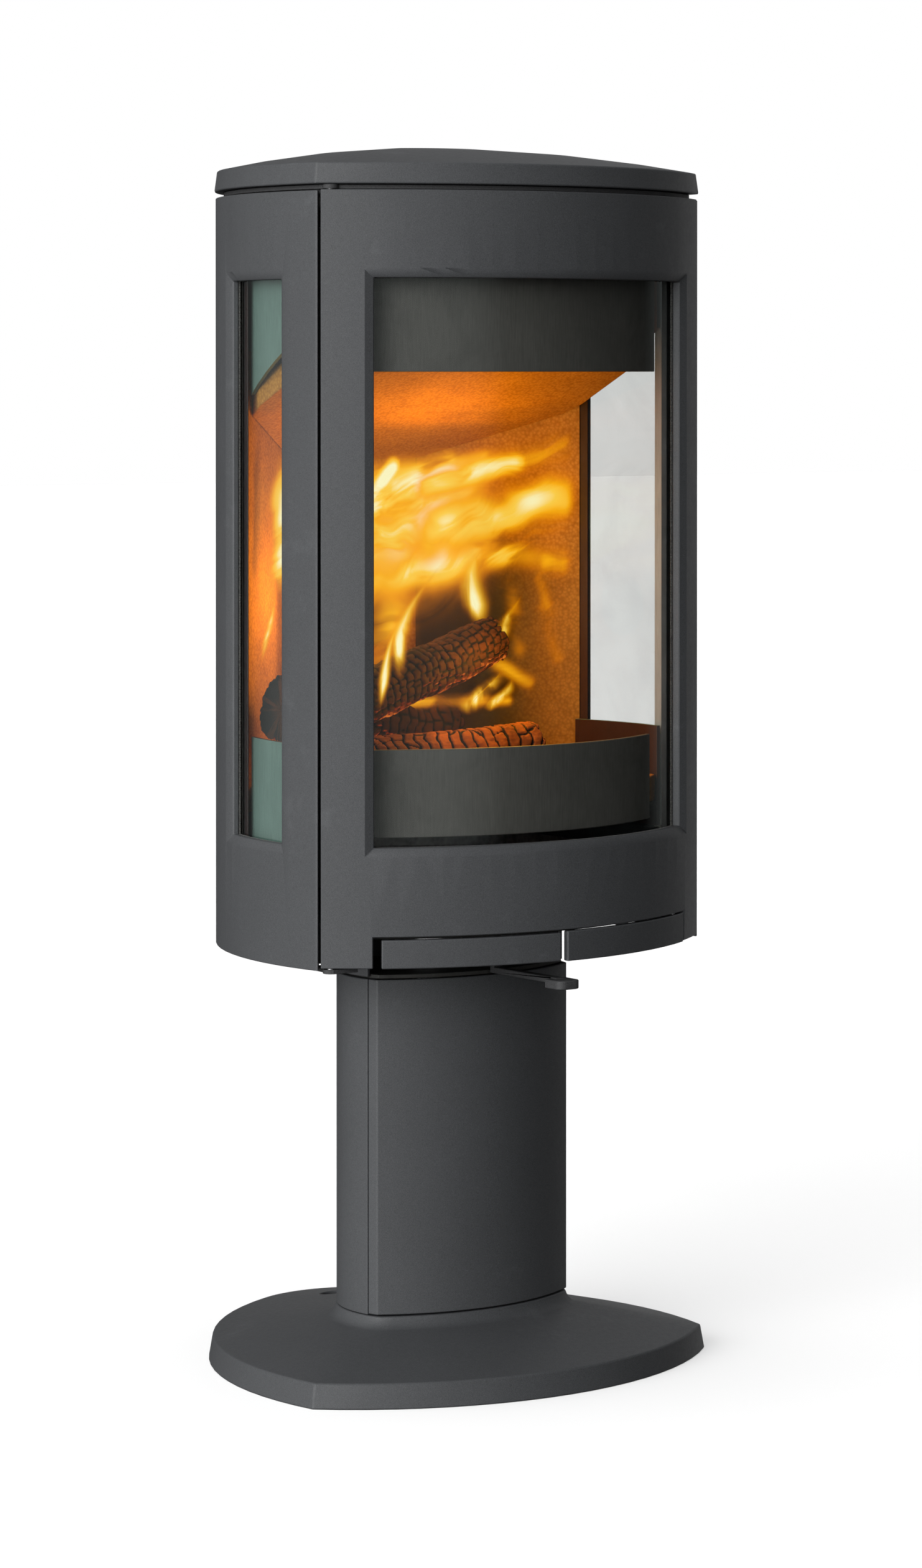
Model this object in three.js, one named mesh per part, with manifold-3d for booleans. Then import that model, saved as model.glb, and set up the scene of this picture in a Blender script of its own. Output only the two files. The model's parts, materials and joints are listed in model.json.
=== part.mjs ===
// Wood burning stove: three curved glazed faces on a pedestal.
// Millimetres, +Z up, the front looks along -Y, the origin is on the floor below the middle of the stove.
import * as THREE from 'three';
import { mergeVertices } from 'three/addons/utils/BufferGeometryUtils.js';
import Module from 'manifold-3d';

const wasm = await Module();
wasm.setup();

// ---- driving dimensions -------------------------------------------------------------------------
const TOTAL_HEIGHT = 1200;
const GAP = 0.4;                       // between two pieces that touch
const PAST = 1;                        // how far a cutter runs past what it cuts
const ALL_HEIGHTS = { z0: -10, z1: TOTAL_HEIGHT + 10 };
const ARC_STEP = THREE.MathUtils.degToRad(4);
const OUTLINE_STEPS = { front: 20, side: 18, back: 10 };   // the same at every offset, so outlines loft

// Plan of the firebox casing: three arcs that meet in two front corners, and a round back.
const FRONT = { x: 0, y: 114, r: 344.7 };
const SIDE = { x: 85.8, y: -74.7, r: 323.7 };      // centre of the left wall; the right one is mirrored
const BACK_R = 112.5;
const BACK_Y = SIDE.y + Math.sqrt((SIDE.r - BACK_R) ** 2 - SIDE.x ** 2);
const BACK_TURN = Math.atan2(BACK_Y - SIDE.y, -SIDE.x);    // where a side arc runs into the back arc
const BACK_PANEL_TURN = THREE.MathUtils.degToRad(132);      // seam between side panel and back panel

// Casing
const CASING_BOTTOM = 413.9;
const CASING_TOP = 1151.4;
const PANEL_T = 10;
const BACK_PANEL_T = 3;
const BEVEL_W = 9;
const BEVEL_D = 5;
const SIDE_WINDOW = { y0: -96, y1: 28, z0: 520.7, z1: 1077 };
const FLOOR = { z0: 452, z1: 458 };
const BODY_TOP = { z0: CASING_TOP + 1.4, z1: 1157, inset: 8, ledge: { inset: 14, z0: 1145.8 } };
const TOP_PLATE = {                    // its dome is flat inside the fraction crown of the outline
  z0: 1157.5,
  rimZ: 1159.5,
  rimTop: 1178,
  rimOut: 1,
  rimIn: 1.5,
  wall: 7,
  crown: 0.25,
};

// Door
const DOOR = { z0: 416, z1: 1152.3, t: 12, cornerGap: 4.6 };
const CORNER_STRIP = 2.4;              // front-facing edge of a side panel beside the door
const DOOR_WINDOW = { x: 194.5, z0: 520.7, z1: 1078 };
const DOOR_NOTCH = { x: 188, top: 445.5 };
const HINGE = {
  fromCorner: 13.5, depth: 6, pinR: 4, pinL: 22, boreR: 4.6, boreL: 26, earR: 7.5, sweepR: 12.6,
};
const BRACKET = {                      // lower hinge bracket, its outline from the hinge point
  t: 4,
  belowDoor: 1,
  outline: [[-2, -7.5], [26, -7.5], [40, 16], [36, 32], [0, 32], [-2, 7.5]],
};
const HANDLE = {
  x0: 1, x1: 186, z0: 415, z1: 444, t: 7, pivotX: 172, pinR: 3, pinL: 21, boreR: 3.5, lugD: 12,
};
const LATCH = {                        // outlines from the handle's pivot: sideways, then inwards
  z0: 422,
  z1: 436,
  hook: [[-12, 6.4], [6, 6.4], [4, 34], [13, 36], [12, 44], [-8, 44]],
  post: { at: [22, 30], r: 5, z0: 418 },
  keeper: { z0: 436, z1: 441, outline: [[22, 25], [60, 20], [60, 36], [22, 35]] },
};
const TRIM = { x0: -181, x1: -7, z0: 415.6, z1: 442.8, t: 8 };

// Glass and its seals, as depths behind the outer face of the wall they sit in
const GLASS_T = 4;
const TAPE_T = 2;
const GLASS_LAP = 10;                  // glass beyond the clear opening
const STRIP_T = 1.5;
const STRIP_FOOT = 6;
const STRIP_LIP = { rear: 16, front: 8 };
const SIDE_GUARD = { d0: 24, d1: 28, y0: -108, y1: 23, z0: 523, z1: 624 };
const CLIP = { x: 110, halfW: 12, t: 1.2, over: 6, out: 11, foot: 0.6 };
const SEAL = { x0: 204, x1: 214, z0: 497, z1: 1102, w: 10, d0: 12.4, d1: 21.4 };

// Firebox
const FRONT_FRAME = { d0: 22.2, d1: 28, x: 242, z0: 490, z1: 1116, openX: 199, openZ0: 512, openZ1: 1086 };
const RETAINER = { d0: 36, d1: 41, x: 188, z0: 536, z1: 620 };
const DEFLECTOR = { d0: 34, d1: 38, x: 196, z0: 980, z1: 1100 };
const BACK_WALL = { flatX: 78, flatY: 130, sideX: 205, sideY: 16, t: 25, z0: 549, z1: 1000 };
const BAFFLE = { frontY: -85, frontZ: 987, slope: -0.45, t: 25, x: 198 };
const LINER = { behindBrick: 1, t: 3, frontDepth: 30 };
const OVAL_COVER = { halfX: 50, halfZ: 34, t: 3, z: 730 };
const BRICK_FLOOR = { z0: 549, z1: 575 };
const FIREBOX_FLOOR = { z0: 541, z1: 548.6, holeX: 70, holeY0: -120, holeY1: 60 };
const FIREBOX_FRONT = { bricks: 44, floor: 42 };   // how far behind the front wall each one starts
const GRATE = { halfX: 82, slots: 6, slotHalf: 5, y0: -112, y1: 52 };
const ASH_PAN = { halfX: 112, y0: -150, y1: 50, z1: 515, sheet: 2, lipHalfX: 40, lipOut: 14 };
const LOG_TAPER = 0.92;
const LOGS = [
  { name: 'log_front', from: [-150, -88, 603], to: [60, -96, 613], r: 26, sides: 9 },
  { name: 'log_rear', from: [-176, 0, 650], to: [40, 32, 620], r: 36, sides: 8 },
  { name: 'log_upper', from: [-150, -63, 654], to: [80, 2, 710], r: 29, sides: 9 },
];
const BEHIND_SIDE_GUARD = SIDE.r - 29;   // room between the two side guards
const BEHIND_SIDE_GLASS = SIDE.r - 19.3; // room between the strips that hold the side panes
const FLUE = { z: 1062, r: 70, wall: 6, y0: 168, y1: 236 };

// Pedestal and base
const PEDESTAL = {
  frontY: 107.5, frontR: 218, sideX: 28, sideY: -45, sideR: 93.2, t: 4, flange: 14, flangeT: 5,
};
const PEDESTAL_Z = { bottom: 62.6, coverBottom: 63.6, top: 389.6, plateT: 4, neckBottom: 391.5 };
const SEAM_BEHIND_CORNER = 11;
const SEAM_GAP = 1;
const BASE = { flare: 7.5, draft: 4.2, rimZ: 24, foot: 11, footZ: 50, top: 62, collar: 1 };
const BASE_HOLE = { y: 156, r: 20 };
const DUCT = { y: -2, r: 34, wall: 3, z0: 330 };
const LEVER = {
  pivotY: -64, gripY: -237, jogY: -118, z0: 392, z1: 398, topZ: 436, halfW: 5, hubR: 12, boreR: 5.4,
};
const GRIP = { halfW: 13, length: 25, cornerR: 8, z0: 388.5, z1: 397 };
const LEVER_PIN = { r: 5, headR: 9, headT: 4 };
const SHUTTER = { r: 25, z0: 441, z1: 446, ports: 4, portR: 5, portAt: 17 };

// ---- materials ----------------------------------------------------------------------------------
const finish = (color, roughness, metalness = 0, extra = {}) =>
  new THREE.MeshStandardMaterial({ color, roughness, metalness, ...extra });
const castPaint = () => finish(0x3c3d40, 0.72, 0.2);
const darkCast = () => finish(0x2a2a2b, 0.8, 0.3);
const blackSteel = () => finish(0x1c1c1d, 0.65, 0.5);
const steel = () => finish(0x8a8d90, 0.4, 0.9);
const clearGlass = () => finish(0xa8b5b0, 0.08, 0, { transparent: true, opacity: 0.35 });
const rope = () => finish(0x2b2c2b, 0.95);
const vermiculite = () => finish(0x9a7b4c, 0.95);
const burntWood = () => finish(0x2b1d14, 0.95);

// ---- solids -------------------------------------------------------------------------------------
function toSolid(geometry) {
  const bare = geometry.clone();
  for (const name of Object.keys(bare.attributes)) {
    if (name !== 'position') bare.deleteAttribute(name);
  }
  const merged = mergeVertices(bare, 1e-4);
  return new wasm.Manifold(new wasm.Mesh({
    numProp: 3,
    vertProperties: new Float32Array(merged.attributes.position.array),
    triVerts: new Uint32Array(merged.index.array),
  }));
}

function toGeometry(solid) {
  const mesh = solid.getMesh();
  const geometry = new THREE.BufferGeometry();
  geometry.setAttribute('position', new THREE.BufferAttribute(new Float32Array(mesh.vertProperties), 3));
  geometry.setIndex(new THREE.BufferAttribute(new Uint32Array(mesh.triVerts), 1));
  geometry.computeVertexNormals();
  return geometry;
}

// A solid from rings of equal length, each counter-clockwise seen from above, lowest ring first.
function loft(rings) {
  const count = rings[0].length;
  const positions = rings.flat().flatMap((p) => [p.x, p.y, p.z]);
  const index = [];
  for (let k = 0; k + 1 < rings.length; k += 1) {
    for (let i = 0; i < count; i += 1) {
      const j = (i + 1) % count;
      const [a, b, c, d] = [k * count + i, k * count + j, (k + 1) * count + j, (k + 1) * count + i];
      index.push(a, b, c, a, c, d);
    }
  }
  const addCap = (ring, first, up) => {
    const middle = ring.reduce((sum, p) => sum.add(p), new THREE.Vector3()).divideScalar(count);
    const hub = positions.length / 3;
    positions.push(middle.x, middle.y, middle.z);
    for (let i = 0; i < count; i += 1) {
      const [a, b] = [first + i, first + ((i + 1) % count)];
      index.push(hub, ...(up ? [a, b] : [b, a]));
    }
  };
  addCap(rings[0], 0, false);
  addCap(rings.at(-1), (rings.length - 1) * count, true);
  const geometry = new THREE.BufferGeometry();
  geometry.setAttribute('position', new THREE.Float32BufferAttribute(positions, 3));
  geometry.setIndex(index);
  return toSolid(geometry);
}

const prism = (points, z0, z1) => {
  const extrusion = { depth: z1 - z0, bevelEnabled: false };
  const geometry = new THREE.ExtrudeGeometry(new THREE.Shape(points), extrusion);
  return toSolid(geometry.translate(0, 0, z0));
};

const box = (x0, x1, y0, y1, z0, z1) => {
  const geometry = new THREE.BoxGeometry(x1 - x0, y1 - y0, z1 - z0);
  return toSolid(geometry.translate((x0 + x1) / 2, (y0 + y1) / 2, (z0 + z1) / 2));
};

const post = (x, y, r, z0, z1, sides = 24) => {
  const geometry = new THREE.CylinderGeometry(r, r, z1 - z0, sides).rotateX(Math.PI / 2);
  return toSolid(geometry.translate(x, y, (z0 + z1) / 2));
};

// A round bar or bore along Y.
const rodY = (x, z, r, y0, y1, sides = 32) => {
  const geometry = new THREE.CylinderGeometry(r, r, y1 - y0, sides);
  return toSolid(geometry.translate(x, (y0 + y1) / 2, z));
};

const mirrorX = (solid) => solid.mirror([1, 0, 0]);

// ---- plan curves --------------------------------------------------------------------------------
const onCircle = (cx, cy, r, angle) => new THREE.Vector2(cx + r * Math.cos(angle), cy + r * Math.sin(angle));

const arcSteps = (from, to) => Math.max(1, Math.round(Math.abs(to - from) / ARC_STEP));

function arc(cx, cy, r, from, to, steps = arcSteps(from, to)) {
  return Array.from({ length: steps + 1 }, (_, i) => onCircle(cx, cy, r, from + ((to - from) * i) / steps));
}

// The crossing of two circles that lies furthest to the left.
function leftCrossing(a, b) {
  const [dx, dy] = [b.x - a.x, b.y - a.y];
  const d = Math.hypot(dx, dy);
  const along = (a.r ** 2 - b.r ** 2 + d ** 2) / (2 * d);
  const across = Math.sqrt(a.r ** 2 - along ** 2);
  const crossings = [1, -1].map((s) => new THREE.Vector2(
    a.x + (dx * along - s * dy * across) / d,
    a.y + (dy * along + s * dx * across) / d,
  ));
  return crossings[0].x < crossings[1].x ? crossings[0] : crossings[1];
}

const angleFrom = (circle, p) => Math.atan2(p.y - circle.y, p.x - circle.x);
const fullTurn = (angle) => (angle < 0 ? angle + 2 * Math.PI : angle);
const mirrored = (points) => points.map((p) => new THREE.Vector2(-p.x, p.y)).reverse();

// The casing's outline moved out by offset: left corner, front, right side, back, left side.
function casingOutline(offset) {
  const front = { ...FRONT, r: FRONT.r + offset };
  const side = { ...SIDE, r: SIDE.r + offset };
  const corner = leftCrossing(front, side);
  const start = angleFrom(front, corner);
  const steps = OUTLINE_STEPS;
  const frontArc = arc(front.x, front.y, front.r, start, -Math.PI - start, steps.front);
  const leftArc = arc(side.x, side.y, side.r, BACK_TURN, fullTurn(angleFrom(side, corner)), steps.side);
  const backArc = arc(0, BACK_Y, BACK_R + offset, Math.PI - BACK_TURN, BACK_TURN, steps.back);
  return [...frontArc, ...mirrored(leftArc).slice(1), ...backArc.slice(1, -1), ...leftArc.slice(0, -1)];
}

const CORNER = leftCrossing(FRONT, SIDE);
const frontAngle = (x) => Math.asin(x / FRONT.r);          // turn from the middle of the front
const CORNER_TURN = -frontAngle(CORNER.x);
const sideAngle = (y) => Math.PI - Math.asin((y - SIDE.y) / SIDE.r);

const lift = (points, z) => points.map((p) => new THREE.Vector3(p.x, p.y, z));

// Piece of a round wall about a circle's centre, between two depths behind the circle.
function wall(circle, d0, d1, from, to, z0, z1) {
  const outer = arc(circle.x, circle.y, circle.r - d0, from, to);
  const inner = arc(circle.x, circle.y, circle.r - d1, from, to).reverse();
  return prism([...outer, ...inner], z0, z1);
}

// The same on the front wall, between two turns from its middle.
const frontWall = (d0, d1, turn0, turn1, z0, z1) =>
  wall(FRONT, d0, d1, turn0 - Math.PI / 2, turn1 - Math.PI / 2, z0, z1);

// All the room between two heights.
const heights = (z0, z1) => box(-FRONT.r, FRONT.r, -FRONT.r, FRONT.r, z0, z1);

const disc = (circle, r, x = circle.x) => post(x, circle.y, r, ALL_HEIGHTS.z0, ALL_HEIGHTS.z1, 96);

// Cutter of a window whose edge is bevelled from the outer face in to BEVEL_D.
function windowCutter(circle, from, to, z0, z1, through) {
  const turnIn = BEVEL_W / circle.r;
  const slope = 1 / BEVEL_D;
  const rings = [
    { d: -PAST, in: -slope * PAST },
    { d: BEVEL_D, in: 1 },
    { d: through, in: 1 },
  ];
  const steps = Math.round((to - from) / ARC_STEP);
  const positions = [];
  rings.forEach((ring) => {
    const [a0, a1] = [from + turnIn * ring.in, to - turnIn * ring.in];
    for (let i = 0; i <= steps; i += 1) {
      const p = onCircle(circle.x, circle.y, circle.r - ring.d, a0 + ((a1 - a0) * i) / steps);
      positions.push(p.x, p.y, z0 + BEVEL_W * ring.in, p.x, p.y, z1 - BEVEL_W * ring.in);
    }
  });
  const index = [];
  const at = (k, i, high) => (k * (steps + 1) + i) * 2 + high;
  const quad = (a, b, c, d) => index.push(a, b, c, a, c, d);
  const last = rings.length - 1;
  for (let i = 0; i < steps; i += 1) {
    quad(at(0, i, 0), at(0, i + 1, 0), at(0, i + 1, 1), at(0, i, 1));
    quad(at(last, i, 1), at(last, i + 1, 1), at(last, i + 1, 0), at(last, i, 0));
    for (let k = 0; k < last; k += 1) {
      quad(at(k + 1, i, 0), at(k + 1, i + 1, 0), at(k, i + 1, 0), at(k, i, 0));
      quad(at(k, i, 1), at(k, i + 1, 1), at(k + 1, i + 1, 1), at(k + 1, i, 1));
    }
  }
  for (let k = 0; k < last; k += 1) {
    quad(at(k, 0, 0), at(k, 0, 1), at(k + 1, 0, 1), at(k + 1, 0, 0));
    quad(at(k + 1, steps, 0), at(k + 1, steps, 1), at(k, steps, 1), at(k, steps, 0));
  }
  const geometry = new THREE.BufferGeometry();
  geometry.setAttribute('position', new THREE.Float32BufferAttribute(positions, 3));
  geometry.setIndex(index);
  return toSolid(geometry);
}

// A flat band round an opening in a round wall.
function bandRound(circle, d0, d1, from, to, z0, z1, width) {
  const turn = width / circle.r;
  const outer = wall(circle, d0, d1, from - turn, to + turn, z0 - width, z1 + width);
  return outer.subtract(wall(circle, d0 - PAST, d1 + PAST, from, to, z0, z1));
}

// ---- assembly -----------------------------------------------------------------------------------
const stove = new THREE.Group();
stove.name = 'wood_burning_stove';

function add(name, solid, material) {
  const mesh = new THREE.Mesh(toGeometry(solid), material);
  mesh.name = name;
  stove.add(mesh);
}

// ---- pedestal outline ---------------------------------------------------------------------------
const pedestalFront = (offset) => ({ x: 0, y: PEDESTAL.frontY, r: PEDESTAL.frontR + offset });
const pedestalSide = (offset) => ({ x: -PEDESTAL.sideX, y: PEDESTAL.sideY, r: PEDESTAL.sideR + offset });

// From the left seam round the front to the right seam.
function pedestalCoverPath(offset) {
  const [front, side] = [pedestalFront(offset), pedestalSide(offset)];
  const corner = leftCrossing(front, side);
  const start = angleFrom(front, corner);
  const cornerOnSide = fullTurn(angleFrom(side, corner));
  const lap = arc(side.x, side.y, side.r, pedestalSeamTurn(0), cornerOnSide);
  const frontArc = arc(front.x, front.y, front.r, start, -Math.PI - start);
  return [...lap, ...frontArc.slice(1), ...mirrored(lap).slice(1)];
}

function pedestalSeamTurn(shift) {
  const cornerOnSide = fullTurn(angleFrom(pedestalSide(0), leftCrossing(pedestalFront(0), pedestalSide(0))));
  return cornerOnSide - (SEAM_BEHIND_CORNER + shift) / PEDESTAL.sideR;
}

// From the right seam round the back to the left seam.
function pedestalRearPath(offset) {
  const side = pedestalSide(offset);
  const leftArc = arc(side.x, side.y, side.r, Math.PI / 2, pedestalSeamTurn(SEAM_GAP));
  return [...mirrored(leftArc), ...leftArc];
}

function pedestalOutline(offset) {
  const side = pedestalSide(offset);
  const front = pedestalFront(offset);
  const corner = leftCrossing(front, side);
  const start = angleFrom(front, corner);
  const leftArc = arc(side.x, side.y, side.r, Math.PI / 2, fullTurn(angleFrom(side, corner)));
  const frontArc = arc(front.x, front.y, front.r, start, -Math.PI - start);
  return [...frontArc, ...mirrored(leftArc).slice(1), ...leftArc.slice(0, -1)];
}

// Where rays from a point inside, through each point of one outline, meet another outline.
function castOnto(outline, targets, from) {
  return targets.map((target) => {
    const ray = target.clone().sub(from);
    for (let i = 0; i < outline.length; i += 1) {
      const [p, q] = [outline[i], outline[(i + 1) % outline.length]];
      const edge = q.clone().sub(p);
      const det = ray.cross(edge);
      const reach = p.clone().sub(from).cross(edge) / det;
      const along = p.clone().sub(from).cross(ray) / det;
      if (reach > 0 && along > -1e-9 && along < 1 + 1e-9) return from.clone().addScaledVector(ray, reach);
    }
    throw new Error('the outline is not closed round the point');
  });
}

// ---- base ---------------------------------------------------------------------------------------
function addBase() {
  const hub = new THREE.Vector2(0, -20);
  const rim = casingOutline(BASE.flare - BASE.draft);
  const onPedestal = (offset) => castOnto(pedestalOutline(offset), rim, hub);
  const foot = onPedestal(BASE.foot);
  const slopeRing = (t) => lift(
    rim.map((p, i) => p.clone().lerp(foot[i], t)),
    BASE.rimZ + (BASE.footZ - BASE.rimZ) * t,
  );
  const filletRings = [[6.5, 2], [3, 5.5], [BASE.collar, 10]]
    .map(([offset, rise]) => lift(onPedestal(offset), BASE.footZ + rise));
  const outer = loft([
    lift(casingOutline(BASE.flare), 0),
    ...[0, 0.35, 0.7, 1].map(slopeRing),
    ...filletRings,
    lift(onPedestal(BASE.collar), BASE.top),
  ]);
  const hollowRim = casingOutline(-6);
  const hollow = loft([
    lift(casingOutline(-4.5), -1),
    lift(hollowRim, 14),
    lift(castOnto(pedestalOutline(2), hollowRim, hub), 40),
  ]);
  const hole = post(0, BASE_HOLE.y, BASE_HOLE.r, -PAST, BASE.top + PAST);
  add('base_plate', outer.subtract(hollow).subtract(hole), castPaint());
}

// ---- pedestal -----------------------------------------------------------------------------------
function addPedestal() {
  const { t } = PEDESTAL;
  const cover = prism(
    [...pedestalCoverPath(0), ...pedestalCoverPath(-t).reverse()],
    PEDESTAL_Z.coverBottom,
    PEDESTAL_Z.top,
  );
  add('pedestal_front_cover', cover, castPaint());

  const rearWall = [...pedestalRearPath(0), ...pedestalRearPath(-t).reverse()];
  const shell = prism(rearWall, PEDESTAL_Z.bottom, PEDESTAL_Z.top);
  const flange = (z) => prism(
    [...pedestalRearPath(PAST - t), ...pedestalRearPath(-PEDESTAL.flange).reverse()],
    z,
    z + PEDESTAL.flangeT,
  );
  const flanged = shell.add(flange(PEDESTAL_Z.bottom)).add(flange(PEDESTAL_Z.top - PEDESTAL.flangeT));
  add('pedestal_rear_shell', flanged, castPaint());

  const plateZ = PEDESTAL_Z.top + GAP;
  const plateTop = plateZ + PEDESTAL_Z.plateT;
  const plate = prism(pedestalOutline(-t - 1), plateZ, plateTop)
    .subtract(post(0, DUCT.y, DUCT.r + GAP, plateZ - PAST, plateTop + PAST, 32));
  add('pedestal_top_plate', plate, blackSteel());

  const neck = prism(rearWall, PEDESTAL_Z.neckBottom, FLOOR.z0 - GAP);
  add('pedestal_neck', neck, castPaint());

  const duct = post(0, DUCT.y, DUCT.r, DUCT.z0, FLOOR.z0 - GAP, 32)
    .subtract(post(0, DUCT.y, DUCT.r - DUCT.wall, DUCT.z0 - PAST, FLOOR.z0, 32));
  add('air_inlet_duct', duct, steel());
}

// ---- casing -------------------------------------------------------------------------------------
const hingePoint = (() => {
  const turn = CORNER_TURN - HINGE.fromCorner / FRONT.r;
  return onCircle(FRONT.x, FRONT.y, FRONT.r - HINGE.depth, -Math.PI / 2 - turn);
})();

// The room in which the door sits, between the two side panels.
function doorRoom(edge, depth) {
  const turn = CORNER_TURN - edge / FRONT.r;
  return frontWall(-BASE.flare, depth, -turn, turn, ALL_HEIGHTS.z0, ALL_HEIGHTS.z1);
}

// The room that the door's hinge edge sweeps.
const hingeRoom = () => post(hingePoint.x, hingePoint.y, HINGE.sweepR, ALL_HEIGHTS.z0, ALL_HEIGHTS.z1, 32);

function sidePanelLeft() {
  const pastCorner = fullTurn(angleFrom(SIDE, CORNER)) + PANEL_T / SIDE.r;
  const shell = wall(SIDE, 0, PANEL_T, BACK_PANEL_TURN, pastCorner, CASING_BOTTOM, CASING_TOP);
  const windowHole = windowCutter(SIDE, sideAngle(SIDE_WINDOW.y1), sideAngle(SIDE_WINDOW.y0),
    SIDE_WINDOW.z0, SIDE_WINDOW.z1, PANEL_T + PAST);
  return shell
    .intersect(disc(FRONT, FRONT.r))
    .subtract(doorRoom(CORNER_STRIP, DOOR.t + 4))
    .subtract(hingeRoom())
    .subtract(windowHole);
}

function addCasing() {
  const left = sidePanelLeft();
  add('left_side_panel', left, castPaint());
  add('right_side_panel', mirrorX(left), castPaint());

  const backPath = (offset) => {
    const onSide = arc(SIDE.x, SIDE.y, SIDE.r + offset, BACK_TURN, BACK_PANEL_TURN - SEAM_GAP / SIDE.r);
    const round = arc(0, BACK_Y, BACK_R + offset, Math.PI - BACK_TURN, BACK_TURN);
    return [...mirrored(onSide), ...round.slice(1), ...onSide.slice(1)];
  };
  const back = prism([...backPath(0), ...backPath(-BACK_PANEL_T).reverse()], CASING_BOTTOM, CASING_TOP)
    .subtract(rodY(0, FLUE.z, FLUE.r + FLUE.wall + GAP, FLUE.y0, BACK_Y + FLUE.y1, 48));
  add('back_panel', back, castPaint());

  const behindDoor = (depth) => frontWall(-BASE.flare, depth, -1, 1, ALL_HEIGHTS.z0, ALL_HEIGHTS.z1);
  const floor = prism(casingOutline(-PANEL_T - 1.5 * GAP), FLOOR.z0, FLOOR.z1)
    .subtract(behindDoor(DOOR.t + 3))
    .subtract(hingeRoom())
    .subtract(post(0, DUCT.y, DUCT.r - DUCT.wall, FLOOR.z0 - PAST, FLOOR.z1 + PAST, 32));
  add('body_floor', floor, blackSteel());

  const { ledge } = BODY_TOP;
  const bodyTop = prism(casingOutline(-BODY_TOP.inset), BODY_TOP.z0, BODY_TOP.z1)
    .add(prism(casingOutline(-ledge.inset), ledge.z0, BODY_TOP.z1)
      .subtract(behindDoor(DOOR.t + 4).add(hingeRoom()).intersect(heights(0, BODY_TOP.z0))))
    .add(post(hingePoint.x, hingePoint.y, HINGE.earR, BODY_TOP.z0, BODY_TOP.z1))
    .subtract(post(hingePoint.x, hingePoint.y, HINGE.pinR + GAP, ledge.z0, BODY_TOP.z1 + PAST));
  add('body_top', bodyTop, darkCast());
}

// The top plate is a shallow dome with a drafted rim, hollow below.
function addTopPlate() {
  const { rimOut, rimIn, rimZ, crown } = TOP_PLATE;
  const rim = casingOutline(-rimIn);
  const inner = casingOutline(-rimIn - TOP_PLATE.wall);
  const rise = (TOTAL_HEIGHT - TOP_PLATE.rimTop) / (1 - crown ** 2);
  const dome = (outline, base, fractions) => fractions.map((f) => lift(
    outline.map((p) => p.clone().multiplyScalar(f)),
    base + rise * (1 - f * f),
  ));
  const outer = loft([
    lift(casingOutline(rimOut), TOP_PLATE.z0),
    lift(casingOutline(rimOut), rimZ),
    ...dome(rim, TOP_PLATE.rimTop, [1, 0.82, 0.56, crown]),
  ]);
  const hollow = loft([
    lift(inner, TOP_PLATE.z0 - PAST),
    ...dome(inner, TOP_PLATE.rimTop - TOP_PLATE.wall, [1, 0.6, crown]),
  ]);
  add('top_plate', outer.subtract(hollow), castPaint());
}

// ---- side glass ---------------------------------------------------------------------------------
function addSideGlass() {
  const turnIn = BEVEL_W / SIDE.r;
  const from = sideAngle(SIDE_WINDOW.y1) + turnIn;
  const to = sideAngle(SIDE_WINDOW.y0) - turnIn;
  const [z0, z1] = [SIDE_WINDOW.z0 + BEVEL_W, SIDE_WINDOW.z1 - BEVEL_W];
  const lap = GLASS_LAP / SIDE.r;
  const tapeD = PANEL_T + GAP;
  const glassD = tapeD + TAPE_T + GAP;
  const clipD = glassD + GLASS_T + GAP;
  const tape = bandRound(SIDE, tapeD, tapeD + TAPE_T, from, to, z0, z1, GLASS_LAP - 1);
  const pane = wall(SIDE, glassD, glassD + GLASS_T, from - lap, to + lap, z0 - GLASS_LAP, z1 + GLASS_LAP);
  // A strip along one upright edge of the pane: a foot on the panel and a lip over the glass.
  const strip = (edge, outward, lip) => {
    const [a, b] = [edge - (outward * lip) / SIDE.r, edge + (outward * STRIP_FOOT) / SIDE.r];
    const foot = edge + (outward * CLIP.foot) / SIDE.r;
    const [low, high] = [z0 - GLASS_LAP, z1 + GLASS_LAP];
    return wall(SIDE, clipD, clipD + STRIP_T, Math.min(a, b), Math.max(a, b), low, high)
      .add(wall(SIDE, tapeD, clipD + STRIP_T, Math.min(foot, b), Math.max(foot, b), low, high));
  };
  const guard = wall(SIDE, SIDE_GUARD.d0, SIDE_GUARD.d1,
    sideAngle(SIDE_GUARD.y1), sideAngle(SIDE_GUARD.y0), SIDE_GUARD.z0, SIDE_GUARD.z1);
  const pieces = {
    side_glass: [pane, clearGlass],
    side_glass_seal: [tape, rope],
    side_glass_strip_rear: [strip(from - lap, -1, STRIP_LIP.rear), blackSteel],
    side_glass_strip_front: [strip(to + lap, 1, STRIP_LIP.front), blackSteel],
    side_guard: [guard, blackSteel],
  };
  Object.entries(pieces).forEach(([name, [solid, material]]) => {
    add(`left_${name}`, solid, material());
    add(`right_${name}`, mirrorX(solid), material());
  });
}

// ---- firebox ------------------------------------------------------------------------------------
// Clips a solid to the room between the two side panes and behind the front ironwork.
function insideFirebox(solid, frontDepth = FIREBOX_FRONT.bricks, sideR = BEHIND_SIDE_GUARD) {
  return solid
    .intersect(disc(FRONT, FRONT.r - frontDepth))
    .intersect(disc(SIDE, sideR))
    .intersect(disc(SIDE, sideR, -SIDE.x));
}

// Points of the back wall's front face, moved back by depth.
function backWallLine(depth) {
  const { flatX, flatY, sideX, sideY } = BACK_WALL;
  const normal = new THREE.Vector2(sideY - flatY, sideX - flatX).normalize();
  const bend = new THREE.Vector2(flatX + depth * (Math.SQRT2 - 1) * 0.8, flatY + depth);
  const end = new THREE.Vector2(sideX - normal.x * depth, sideY + normal.y * depth);
  return [end, bend];
}

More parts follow.
